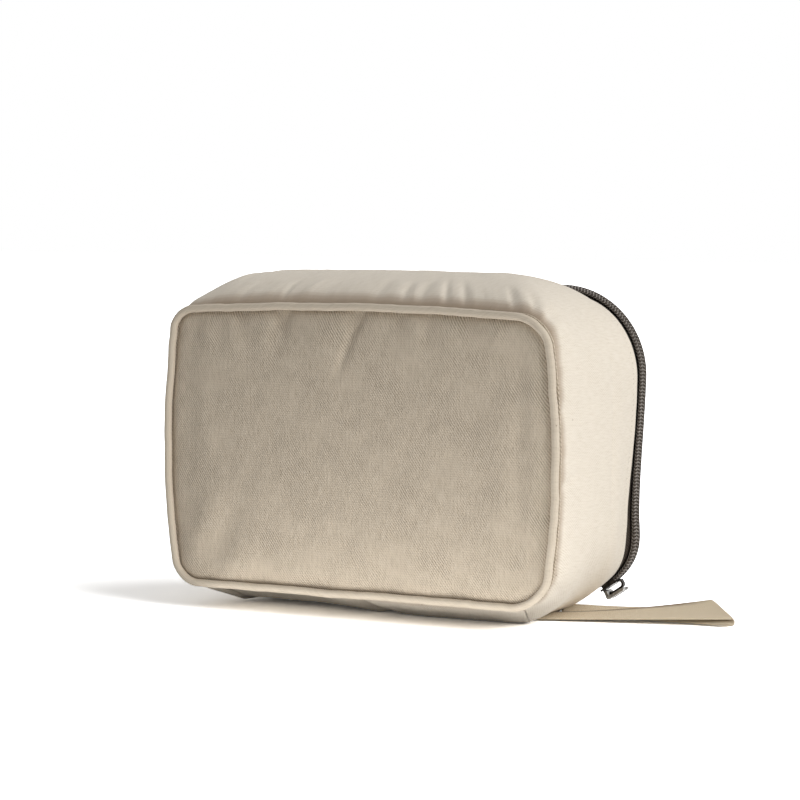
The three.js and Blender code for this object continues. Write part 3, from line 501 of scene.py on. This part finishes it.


# Front panel. Cotton canvas with foam behind it, sewn all round in the piped seam. The stitching gathers the
# cloth under the top piping, which leaves small hollows and swollen patches between them.
# The front panel's canvas is the gusset's cream canvas painted darker: painted shade, as the front faces away from the
# key lamp.
SHADED_FRONT_CANVAS = canvas_material("natural cotton canvas", "#dccfbc", "#c9bba7", "#a69782", relief=0.4 * MM)
PANEL_STATIONS = 470
PANEL_FOLDS = [
    (-73.7, 169, 90, 8, 5, -1.7), (-47, 168.5, 82, 10, 6, -2.3), (1, 169, 70, 9, 5, -2.0),
    (-77, 157, 83, 14, 7, 1.0), (-60, 156, 78, 11, 6, 0.6), (-19, 155, 112, 16, 10, 1.2),
    (-3.5, 156, 69, 17, 2.6, -1.3), (-104, 165, 95, 8, 4, -0.7), (-96, 160, 95, 12, 6, 0.6),
    (28, 170, 95, 7, 4, -0.8), (46, 168, 85, 9, 5, -0.8), (38, 160, 88, 12, 6, 0.5),
    (70, 169, 100, 9, 5, -0.7), (88, 166, 95, 10, 5, 0.6), (60, 158, 95, 12, 7, 0.5),
    (-99, 52, 62, 24, 8, 0.9), (-88, 40, 58, 26, 7, -0.8), (-78, 28, 52, 22, 7, 0.7),
    (-60, 22, 80, 12, 7, -0.6), (-20, 20, 95, 10, 8, -0.5), (20, 20, 85, 12, 9, -0.5), (60, 24, 90, 14, 8, -0.6),
    (112, 110, 92, 46, 6, 0.7), (102, 100, 90, 52, 5, -0.6), (90, 84, 86, 48, 8, 0.5), (114, 60, 80, 20, 5, -0.5),
    (-110, 110, 88, 40, 7, -0.5), (-98, 118, 92, 34, 8, 0.5),
]


def panel_points(walk, shares, outline_y, inset, face):
    """A crowned panel: rings of the outline at one depth, each a share of the full ring about the middle. face
    gives the depth from the distance to the edge, the share, x and z. The grid is rings by stations."""
    edge, out = skin(walk, outline_y, inset)
    _, top, bottom, *_ = section(outline_y)
    middle = np.array([0, 0, (top + bottom) / 2])
    reach = ((edge - middle) * out).sum(-1)
    shares = shares[:, None]
    x = edge[None, :, 0] * shares
    z = mix(middle[2], edge[None, :, 2], shares)
    y = face((1 - shares) * reach[None, :], shares, x, z)
    return np.stack([x, y, z], -1)


def front_face(distance, share, x, z):
    """Pillow: deep in the seam, quickly out by 3 mm, then a slow crown; with the folds, which fade at the edge."""
    pillow = 3.0 * MM * (1 - np.exp(-np.maximum(distance - 3.5 * MM, 0) / (3.2 * MM))) + 1.4 * MM * (1 - share ** 2)
    folds = 1.4 * bell(x, z, PANEL_FOLDS) + 0.3 * MM * uneven(x, z, 34 * MM, 3) + 0.12 * MM * uneven(x, z, 11 * MM, 4)
    return FRONT_Y - GAP - CANVAS - pillow - folds * np.clip((distance - 0.5 * MM) / (3 * MM), 0, 1)


def front_inner(distance, share, x, z):
    """A slow crown behind the foam."""
    return FRONT_Y - GAP - 3.4 * MM * (1 - share ** 2) + 0 * x


panel_walk = spaced(0, 8, PANEL_STATIONS + 1)[0][:-1]
ring_runs = np.linspace(0, 1, 112)
ring_shares = 0.4 * ring_runs + 0.6 * np.sin(ring_runs * np.pi / 2)
outside = panel_points(panel_walk, ring_shares, FRONT_Y, GAP, front_face)
inside = panel_points(panel_walk, ring_shares[::-10], FRONT_Y, GAP, front_inner)
front_points = np.concatenate([outside, inside])
front_cloth = front_points[..., [0, 2]]
front_cloth = np.concatenate([front_cloth, front_cloth[:, :1]], 1)
front_panel = grid_mesh("front_panel_canvas", front_points, front_cloth, wrap_columns=True, merge=True)
front_panel.data.materials.append(SHADED_FRONT_CANVAS)
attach(front_panel, "bag_body")
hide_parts("front_panel", "front_padding")


# Piping. A cord in a folded bias strip of the canvas, caught between the front panel and the gusset. It wavers a
# little where the seam puckers, and its two ends overlap at the upper left corner.
PIPING_RADIUS = 2.2 * MM
PIPING_Y = FRONT_Y - 4.1 * MM
piping_walk, piping_run = (values[:-1] for values in spaced(0, 8, 681))
turns = np.linspace(0, 2 * np.pi, 15)[:-1]


def piping_push(run, spots, inset):
    """The whole tube sways with the seam, and its girth is a little uneven."""
    closing = np.sin(np.pi * np.clip(run / piping_run[-1], 0, 1)) ** 0.2
    return closing * (0.35 * MM * uneven(run, 0 * run, 34 * MM, 21) + 0.12 * MM * uneven(run, 0 * run, 9 * MM, 22))


piping_profile = np.c_[PIPING_RADIUS - PIPING_RADIUS * np.cos(turns), PIPING_Y + PIPING_RADIUS * np.sin(turns)]
piping = carried("front_piping_tube", piping_walk, piping_run, piping_profile, piping_push, closed_walk=True,
                 flip=True)
piping.data.materials.append(canvas_material("bias-cut cotton canvas", "#ddd1be", "#d2c5b2", "#b9ab95", twill=0.1,
                                             relief=0.15 * MM))
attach(piping, "bag_body")
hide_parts("front_piping_cover", "front_piping_cord")


# Zip tape. Two strips of tightly woven black-brown polyester. The front one is sewn under the gusset's hem, and
# the lid's is sewn to the back panel after it turns the corner.
TAPE_INSET, TAPE = 1.2 * MM, 0.6 * MM
LID_TURN_Y, LID_EDGE = 57.4 * MM, 6 * MM
# Fine slanted ribs and fuzz, and hardly any gloss.
tape_material, tree = blank("woven polyester tape")
cloth = cloth_place(tree)
ribs = stripes(tree, cloth, 0.8 * MM, "DIAGONAL", Distortion=0.6)
height = calculate(tree, "MULTIPLY_ADD", ribs, 0.5, noise(tree, cloth, 900.0))
tint = ramp(tree, height, [(0.2, "#1c1713"), (0.6, "#2f2822"), (1.0, "#453c33")])
surface(tree, tint, {"Roughness": 0.8, "Specular IOR Level": 0.3}, height, 0.12 * MM)

# The tapes end 0.3 mm beyond the seam, of the 69 mm round a corner.
TAPE_END = BASE_SEAM + 0.3 / 69
tape_walk, tape_run = spaced(1 + TAPE_END, 8 - TAPE_END, 300, ZIP_Y)
front_tape_y = np.array([39.5, 42, 44.5, 46, 47.5, 49, 50.6]) * MM
front_tape_profile = np.vstack([np.c_[np.full(len(front_tape_y), TAPE_INSET), front_tape_y],
                                np.c_[np.full(len(front_tape_y), TAPE_INSET + TAPE), front_tape_y[::-1]]])
front_tape = carried("zip_tape_front_woven", tape_walk, tape_run, front_tape_profile, flip=True)
front_tape.data.materials.append(tape_material)
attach(front_tape, "bag_body")
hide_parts("zip_tape_front")


def lid_edge_profile(inset, thickness, leads):
    """Straight under the slider, then a quarter round on to the back panel; one face and the other back."""
    quarter = np.linspace(0, np.pi / 2, 8)
    rows = []
    for radius, lead_inset in ((LID_EDGE, inset), (LID_EDGE - thickness, inset + thickness)):
        turn = np.c_[inset + LID_EDGE - radius * np.cos(quarter), LID_TURN_Y + radius * np.sin(quarter)]
        rows.append(np.vstack([np.c_[np.full(len(leads), lead_inset), leads], turn]))
    return np.vstack([rows[0], rows[1][::-1]])


lid_tape_profile = lid_edge_profile(TAPE_INSET, TAPE, np.array([53.4, 55.4]) * MM)
lid_tape = carried("zip_tape_lid_woven", tape_walk, tape_run, lid_tape_profile, flip=True)
lid_tape.data.materials.append(tape_material)
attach(lid_tape, "lid")
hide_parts("zip_tape_lid")


# Zip coils. Each is one stiff nylon thread with a gunmetal finish, wound into a flat coil along the edge of its
# tape. The turns slant towards the slider as they near the middle, so the closed chain shows as chevrons.
COIL_PITCH = 1.97 * MM
COIL_WIRE = 0.5 * MM
COIL_INSET, COIL_RISE = -0.5 * MM, 0.9 * MM
FRONT_COIL_Y, LID_COIL_Y, LID_CORE_Y = 50.2 * MM, 53.8 * MM, 54.4 * MM
COIL_HALF = 1.4 * MM
OVAL_POWER, COIL_LEAN = 2.6, 0.45
THREAD_GIRTH = 3 * MM
# The chain starts and ends where the slider is parked, and at the same place on the other side.
CHAIN_END = 0.37 + 0.004
# A dull metallic gleam with a fine grain.
coil_material, tree = blank("gunmetal nylon coil")
grain = noise(tree, add_node(tree, "TexCoord").outputs["Object"], 1500.0, 2.0)
surface(tree, ramp(tree, grain, [(0.3, "#504b46"), (0.7, "#7d766f")]), {"Metallic": 0.75, "Roughness": 0.34})


def coil(name, centre_y, towards, shift):
    """A thread wound round a flat oval core: its centre line goes round the oval once per pitch, leaning towards
    the slider over the top and at the side that faces the other coil, and a small ring is carried along it."""
    walk_fine, run_fine = spaced(1 + CHAIN_END, 8 - CHAIN_END, 3000, ZIP_Y)
    turns_count = int((run_fine[-1] - 2 * COIL_WIRE) / COIL_PITCH)
    steps = 10
    turn = np.arange(turns_count * steps + 1) / steps
    across, rise = np.cos(2 * np.pi * turn), np.sin(2 * np.pi * turn)
    square = (np.abs(across) ** OVAL_POWER + np.abs(rise) ** OVAL_POWER) ** (-1 / OVAL_POWER)
    across, rise = across * square, rise * square
    along = COIL_WIRE + (turn + shift + COIL_LEAN * across * (rise > -0.2)) * COIL_PITCH
    y = centre_y - towards * across * COIL_HALF
    walk = np.interp(along, run_fine, walk_fine)
    centre, _ = skin(walk, y, COIL_INSET - rise * COIL_RISE)
    ahead = np.gradient(centre, axis=0)
    ahead /= np.linalg.norm(ahead, axis=1)[:, None]
    radial = skin(walk, y)[1]
    side = np.cross(ahead, radial)
    side /= np.linalg.norm(side, axis=1)[:, None]
    up = np.cross(side, ahead)
    ring = np.linspace(0, 2 * np.pi, 6)[:-1]
    points = centre[:, None] + COIL_WIRE * (np.cos(ring)[None, :, None] * side[:, None]
                                            + np.sin(ring)[None, :, None] * up[:, None])
    cloth = np.stack(np.broadcast_arrays(along[:, None], np.linspace(0, THREAD_GIRTH, 6)[None, :]), -1)
    piece = grid_mesh(name, points, cloth, wrap_columns=True, caps=True)
    piece.data.materials.append(coil_material)
    return piece


def coil_core(name, centre_y, half_depth, rise, body):
    """The black cord that the thread is wound round, with the stitching that holds it: a smooth oval tube."""
    around = np.linspace(0, 2 * np.pi, 13)[:-1]
    oval = np.c_[COIL_INSET - rise * np.sin(around), centre_y + half_depth * np.cos(around)]
    walk, run = spaced(1 + CHAIN_END, 8 - CHAIN_END, 400, ZIP_Y)
    core = carried(name, walk, run, oval)
    core.data.materials.append(tape_material)
    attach(core, body)


coil_core("zip_core_front", FRONT_COIL_Y, 1.6 * MM, 1.05 * MM, "bag_body")
coil_core("zip_core_lid", LID_CORE_Y, 2.1 * MM, 1.35 * MM, "lid")
front_coil = coil("zip_coil_front_turns", FRONT_COIL_Y, -1, 0.0)
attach(front_coil, "bag_body")
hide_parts("zip_coil_front")
lid_coil = coil("zip_coil_lid_turns", LID_COIL_Y, 1, 0.5)
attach(lid_coil, "lid")
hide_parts("zip_coil_lid")


# Slider, pull and stops. Die-cast zinc, plated black, with a brighter pull. The plates run over and under the
# chain, and the pull hangs from the arched bridge by its round eye bar.
def plated_zinc(name, tones):
    """Die-cast zinc under a plated finish: fine mottling in tone and gloss, and edges softened by tumbling."""
    material, tree = blank(name)
    blur = noise(tree, add_node(tree, "TexCoord").outputs["Object"], 420.0, 4.0)
    soft_edge = add_node(tree, "Bevel", {"Radius": 0.4 * MM}, samples=6)
    bump = add_node(tree, "Bump", {"Height": blur, "Strength": 0.3, "Distance": 0.1 * MM,
                                   "Normal": soft_edge.outputs["Normal"]})
    surface(tree, ramp(tree, blur, [(0.3, tones[0]), (0.7, tones[1])]),
            {"Metallic": 1.0, "Roughness": rescale(tree, blur, 0.0, 1.0, 0.2, 0.42), "Normal": bump.outputs["Normal"]})
    return material


BLACK_NICKEL = plated_zinc("black nickel on die-cast zinc", ("#2b2927", "#45423f"))
BRIGHT_NICKEL = plated_zinc("bright nickel on die-cast zinc", ("#8f8e8c", "#b4b3b0"))
for names, finish in ((("slider_body", "zip_top_stop_front", "zip_top_stop_lid", "zip_bottom_stop"), BLACK_NICKEL),
                      (("slider_pull",), BRIGHT_NICKEL)):
    for name in names:
        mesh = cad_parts[name].data
        mesh.materials.clear()
        mesh.materials.append(finish)


# Lining and the bound seam. Thin beige polyester cloth inside the tub; at the opening it turns out to the tape
# and hides the foam. A folded ribbon binds the seam round the front panel.
# A fine square weave with a faint satin gloss.
lining_material, tree = blank("plain-weave polyester lining")
cloth = cloth_place(tree)
threads, cross_threads = (stripes(tree, cloth, 0.9 * MM, way, Distortion=0.4) for way in "XY")
height = add_node(tree, "Mix", {"Factor": 0.5, 2: threads, 3: cross_threads}).outputs[0]
tint = ramp(tree, height, [(0.1, "#b5ab98"), (0.5, "#c9c0ae"), (0.9, "#d6cdbc")])
surface(tree, tint, {"Roughness": 0.6, "Specular IOR Level": 0.35, "Sheen Weight": 0.2}, height, 0.1 * MM, 0.6)


def lining_push(run, spots, inset):
    """Loose cloth: it bags inwards in soft waves, never out through the foam, and lies over the drawn-up base."""
    x, y, z = np.moveaxis(spots, -1, 0)
    wave = 0.5 + 0.5 * uneven(run, y, 42 * MM, 31)
    drawn = 1.15 * base_lift(x, y) * smooth((40 * MM - z) / (25 * MM))
    fade = np.clip((y - FRONT_Y) / (10 * MM), 0, 1) * np.clip((FOAM_END_Y - y) / (10 * MM), 0, 1)
    return (drawn - 1.1 * MM * wave) * fade


ring_walk, ring_run = (values[:-1] for values in spaced(0, 8, 361))
lining_start = FRONT_Y + FOAM + GAP
rim = np.array([[3.5, 37.5], [3.4, 39.1], [2.9, 40.1], [2.3, 40.7], [2.0, 41.7]]) * MM
lining_outer = np.vstack([np.c_[np.full(26, STACK - LINING), np.linspace(FRONT_Y, 36.5 * MM, 26)], rim])
lining_inner = lining_outer[::-1] + [LINING, 0]
lining = carried("gusset_lining_cloth", ring_walk, ring_run, np.vstack([lining_outer, lining_inner]),
                 lining_push, closed_walk=True, flip=True)
lining.data.materials.append(lining_material)
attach(lining, "bag_body")
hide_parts("gusset_lining")


def flat_panel(name, walk, outline_y, inset, back, front, shares):
    """A thin panel with a face function on each side; the grid runs out over one face and back over the other."""
    near = panel_points(walk, shares, outline_y, inset, front)
    far = panel_points(walk, shares[::-1], outline_y, inset, back)
    points = np.concatenate([near, far])
    flat = points[..., [0, 2]]
    return grid_mesh(name, points, np.concatenate([flat, flat[:, :1]], 1), wrap_columns=True, merge=True)


def front_lining_face(distance, share, x, z):
    """Follows the crown of the front panel, with loose waves into the bag."""
    return lining_start - 4 * MM * (1 - share ** 2) + 0.7 * MM * (1 + uneven(x, z, 50 * MM, 33)) * (1 - share ** 4)


even_shares = np.linspace(0, 1, 40)
front_lining = flat_panel("front_lining_cloth", ring_walk, FRONT_Y, STACK + GAP,
                          lambda *a: front_lining_face(*a) + LINING, front_lining_face, even_shares)
front_lining.data.materials.append(lining_material)
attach(front_lining, "bag_body")
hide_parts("front_lining")

RIBBON, RIBBON_WIDTH = 1 * MM, 6 * MM
binding_y = FRONT_Y + FOAM + GAP + LINING + GAP + RIBBON / 2
binding_turn = np.linspace(0, np.pi, 6)
round_in, round_y = RIBBON / 2 * np.sin(binding_turn), RIBBON / 2 * np.cos(binding_turn)
binding_profile = np.vstack([np.c_[STACK + GAP + RIBBON_WIDTH - RIBBON / 2 + round_in, binding_y + round_y],
                             np.c_[STACK + GAP + RIBBON / 2 - round_in, binding_y - round_y]])
binding = carried("front_seam_binding_ribbon", ring_walk, ring_run, binding_profile, closed_walk=True)
binding.data.materials.append(tape_material)
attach(binding, "bag_body")
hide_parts("front_seam_binding")


# Lid. The back panel is the same cream canvas over foam, with its edge turned under and topstitched to the tape
# that rounds the corner; a lining closes the inside.
LID_EDGE_Y = LID_TURN_Y + LID_EDGE
LID_OVERLAP, LID_CROWN = 3 * MM, 4 * MM


def back_outer(distance, share, x, z):
    """A quick round at the turned edge, then a slow crown with soft folds."""
    round_edge = 0.9 * MM * np.sqrt(np.clip(1 - (1 - np.clip(distance / (1.2 * MM), 0, 1)) ** 2, 0, 1))
    groove = -0.35 * MM * np.exp(-((distance - 3.2 * MM) / (0.8 * MM)) ** 2)
    soft = 0.35 * MM * uneven(x, z, 44 * MM, 41) * np.clip(distance / (14 * MM), 0, 1)
    return LID_EDGE_Y + GAP + round_edge + LID_CROWN * (1 - share ** 2) + groove + soft


def back_inner(distance, share, x, z):
    """The same slow crown alone."""
    return LID_EDGE_Y + GAP + LID_CROWN * (1 - share ** 2) + 0 * x


back_walk = spaced(0, 8, 401, ZIP_Y)[0][:-1]
back = flat_panel("back_panel_canvas", back_walk, ZIP_Y, TAPE_INSET + LID_EDGE - LID_OVERLAP,
                  back_outer, back_inner, ring_shares[::2])
back.data.materials.append(CREAM_CANVAS)
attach(back, "lid")
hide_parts("back_panel", "back_padding")

lid_lining_y = LID_EDGE_Y - TAPE - GAP - FOAM - GAP - LINING


def lid_lining_face(distance, share, x, z):
    """Follows the crown of the back panel, with loose waves, and turns up to the tape round its edge."""
    turned = 2.6 * MM * np.exp(-distance / (1.2 * MM))
    waves = 0.5 * MM * (1 + uneven(x, z, 48 * MM, 43)) * (1 - share ** 4)
    return lid_lining_y + LID_CROWN * (1 - share ** 2) - waves + turned


lid_lining = flat_panel("back_lining_cloth", back_walk, ZIP_Y, TAPE_INSET + LID_EDGE,
                        lambda *a: lid_lining_face(*a) + LINING, lid_lining_face, ring_shares[::3])
lid_lining.data.materials.append(lining_material)
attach(lid_lining, "lid")
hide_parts("back_lining")


# Hinge. A strip of the canvas under the base joins the tub to the lid.
hinge_walk, hinge_run = spaced(8 - BASE_SEAM, 9 + BASE_SEAM, 120, ZIP_Y)
hinge_profile = lid_edge_profile(TAPE_INSET, TAPE, np.linspace(39.5, 56, 16) * MM)
hinge = carried("hinge_strip_canvas", hinge_walk, hinge_run, hinge_profile, flip=True)
hinge.data.materials.append(CREAM_CANVAS)
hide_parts("hinge_strip")
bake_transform(hinge)


# Strap. A loop of 25 mm cotton herringbone webbing, folded flat and sewn into the right-hand base seam. The
# front leg lies on the back one, spread a little at the seam, and lifts towards the fold at its far edge.
STRAP_WIDTH, STRAP_THICKNESS = 25 * MM, 1.5 * MM
FOLD_RADIUS = 1.6 * MM
STRAP_HEADING = math.radians(14)
# The near and the far edge of the middle sheet, at the root and at the fold.
BACK_ROOT = np.array([[94.7, 11.4, 0.95], [83.79, 29.14, 4.1]]) * MM
BACK_FOLD = np.array([[194.61, 16.58, 1.05], [173.04, 36.97, 8.05]]) * MM
FRONT_FOLD = np.array([[193.89, 19.49, 4.25], [172.31, 39.88, 11.25]]) * MM
FRONT_ROOT = np.array([[87.6, -12.1, 0.95], [85.9, 13.2, 1.5]]) * MM


def strap_leg(root, fold, share, power):
    """Both edges run straight from root to fold, but the far edge rises as a power of the share."""
    edges = mix(root[None], fold[None], share[:, None, None])
    edges[:, 1, 2] = mix(root[1, 2], fold[1, 2], share ** power)
    return edges


leg_shares = np.linspace(0, 1, 70)
turn = np.linspace(0, np.pi, 16)[1:-1, None, None]
reach_out = np.array([math.cos(STRAP_HEADING), math.sin(STRAP_HEADING), 0])
bend = mix(BACK_FOLD[None], FRONT_FOLD[None], turn / np.pi)
bend[..., 2] = BACK_FOLD[None, :, 2] + (FRONT_FOLD - BACK_FOLD)[None, :, 2] * (1 - np.cos(turn[..., 0])) / 2
bend = bend + reach_out * FOLD_RADIUS * np.sin(turn)
strap_edges = np.concatenate([strap_leg(BACK_ROOT, BACK_FOLD, leg_shares, 2.5), bend,
                              strap_leg(FRONT_ROOT, FRONT_FOLD, leg_shares[::-1], 1.6)])
sides = np.linspace(-1, 1, 25)
sheet_points = mix(strap_edges[:, :1], strap_edges[:, 1:], (sides[None, :, None] + 1) / 2)
ahead = np.gradient(sheet_points, axis=0)
strap_normal = np.cross(np.broadcast_to(strap_edges[:, 1:] - strap_edges[:, :1], ahead.shape), ahead)
strap_normal /= np.linalg.norm(strap_normal, axis=-1, keepdims=True)
half_thick = STRAP_THICKNESS / 2 * (1 - np.abs(sides) ** 8) ** 0.5 + 0.02 * MM
top_face = sheet_points + strap_normal * half_thick[None, :, None]
low_face = (sheet_points - strap_normal * half_thick[None, :, None])[:, ::-1]
strap_points = np.concatenate([top_face, low_face], 1)
strap_run = lengths_across(sheet_points[:, len(sides) // 2])
share = (sides + 1) / 2
width_run = np.concatenate([share, share[::-1], share[:1]]) * STRAP_WIDTH
strap_cloth = np.stack(np.broadcast_arrays(strap_run[:, None], width_run[None, :]), -1)
strap = grid_mesh("strap_loop_webbing", strap_points, strap_cloth, wrap_columns=True, caps=True, flip=True)

# Zigzag ribs of warm cotton, matt and a little hairy.
ZIGZAG_WIDTH, RIB_PITCH = 3.1 * MM, 1.2 * MM
webbing, tree = blank("herringbone cotton webbing")
cloth = cloth_place(tree)
parts = add_node(tree, "SeparateXYZ", {"Vector": cloth})
zigzag = calculate(tree, "PINGPONG", parts.outputs["Y"], ZIGZAG_WIDTH)
slant = calculate(tree, "MULTIPLY_ADD", zigzag, 0.9, parts.outputs["X"])
wave = calculate(tree, "SINE", calculate(tree, "MULTIPLY", slant, 2 * math.pi / RIB_PITCH))
height = calculate(tree, "MULTIPLY_ADD", wave, 0.3, noise(tree, cloth, 700.0))
woven = ramp(tree, height, [(0.15, "#ccb896"), (0.5, "#e4d3b6"), (0.9, "#f1e5cf")])
# The far selvedge of the front leg lies on the back leg, and the crease there is painted brown as shade, where the
# front leg shades the back one.
front_start = float(strap_run[len(leg_shares) + len(bend)])
on_front = rescale(tree, parts.outputs["X"], front_start, front_start + 20 * MM)
crease_shade = rescale(tree, parts.outputs["Y"], 18.5 * MM, 23.5 * MM)
tint = tinted(tree, calculate(tree, "MULTIPLY", on_front, crease_shade), woven, "#6e4f2c")
surface(tree, tint, {"Roughness": 0.9, "Specular IOR Level": 0.2, "Sheen Weight": 0.15}, height, 0.4 * MM)
strap.data.materials.append(webbing)
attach(strap, "bag_body")
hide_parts("strap_loop")


# Studio. A wide pale floor, which shows white to the camera and keeps the soft shadow, an even pale sky, a large
# soft sun from the right and a narrower one that grazes the front. Both surfaces look brighter than they shine.
FLOOR_SHINE, FLOOR_SEEN = 0.85, 2.7
SKY_SHINE, SKY_SEEN = 0.28, 1.0
FLOOR_HALF = 6.0
floor_mesh = bpy.data.meshes.new("studio_floor")
floor_mesh.from_pydata([(-FLOOR_HALF, -FLOOR_HALF, 0), (FLOOR_HALF, -FLOOR_HALF, 0), (FLOOR_HALF, FLOOR_HALF, 0),
                        (-FLOOR_HALF, FLOOR_HALF, 0)], [], [(0, 1, 2, 3)])
floor = bpy.data.objects.new("studio_floor", floor_mesh)
bpy.context.scene.collection.objects.link(floor)


def seen_ray(tree):
    """1 for a ray that shows the surface: straight, mirrored or through glass; 0 for light that it gives off."""
    rays = add_node(tree, "LightPath").outputs
    seen = calculate(tree, "MAXIMUM", rays["Is Camera Ray"], rays["Is Glossy Ray"])
    return calculate(tree, "MAXIMUM", seen, rays["Is Transmission Ray"])


# White to the eye, and an ordinary pale grey for the light that it throws back.
paper, tree = blank("white studio paper")
tint = add_node(tree, "Mix", {"Factor": seen_ray(tree), 6: (FLOOR_SHINE,) * 3 + (1,), 7: (FLOOR_SEEN,) * 3 + (1,)},
                data_type="RGBA")
shader = add_node(tree, "BsdfDiffuse", {"Color": tint.outputs[2]})
add_node(tree, "OutputMaterial", {"Surface": shader.outputs["BSDF"]})
floor_mesh.materials.append(paper)

world = bpy.data.worlds.new("studio sky")
world.use_nodes = True
tree = world.node_tree
tree.nodes.clear()
strength = rescale(tree, seen_ray(tree), 0.0, 1.0, SKY_SHINE, SKY_SEEN)
sky = add_node(tree, "Background", {"Color": (1, 1, 1, 1), "Strength": strength})
add_node(tree, "OutputWorld", {"Surface": sky.outputs["Background"]})
bpy.context.scene.world = world

for name, direction, strength, spread in (("key lamp", (0.74, 0.20, 0.64), 1.5, 55),
                                          ("grazing lamp", (0.84, -0.28, 0.44), 0.8, 20)):
    lamp_data = bpy.data.lights.new(name, "SUN")
    lamp_data.energy = strength
    lamp_data.angle = math.radians(spread)
    lamp = bpy.data.objects.new(name, lamp_data)
    lamp.rotation_euler = Vector(direction).to_track_quat("Z", "Y").to_euler()
    bpy.context.scene.collection.objects.link(lamp)

# The bright floor in front of the bag throws light up on it: a wide and a narrow strip just above the floor that
# shine upwards, and a low card that shines back under the base. None is seen itself.
for name, width, height, watts, place, turn in (
        ("bounce strip", 0.44, 0.12, 0.165, (0.12, -0.128, 0.004), (math.pi, 0, 0)),
        ("bounce under the seam", 0.22, 0.016, 0.013, (0.01, -0.080, 0.002), (math.pi, 0, 0)),
        ("bounce card", 0.30, 0.06, 0.06, (0.17, -0.32, 0.034), (math.radians(86), 0, 0))):
    lamp_data = bpy.data.lights.new(name, "AREA")
    lamp_data.shape, lamp_data.size, lamp_data.size_y, lamp_data.energy = "RECTANGLE", width, height, watts
    lamp = bpy.data.objects.new(name, lamp_data)
    lamp.location, lamp.rotation_euler = place, turn
    lamp.visible_camera = lamp.visible_glossy = False
    bpy.context.scene.collection.objects.link(lamp)
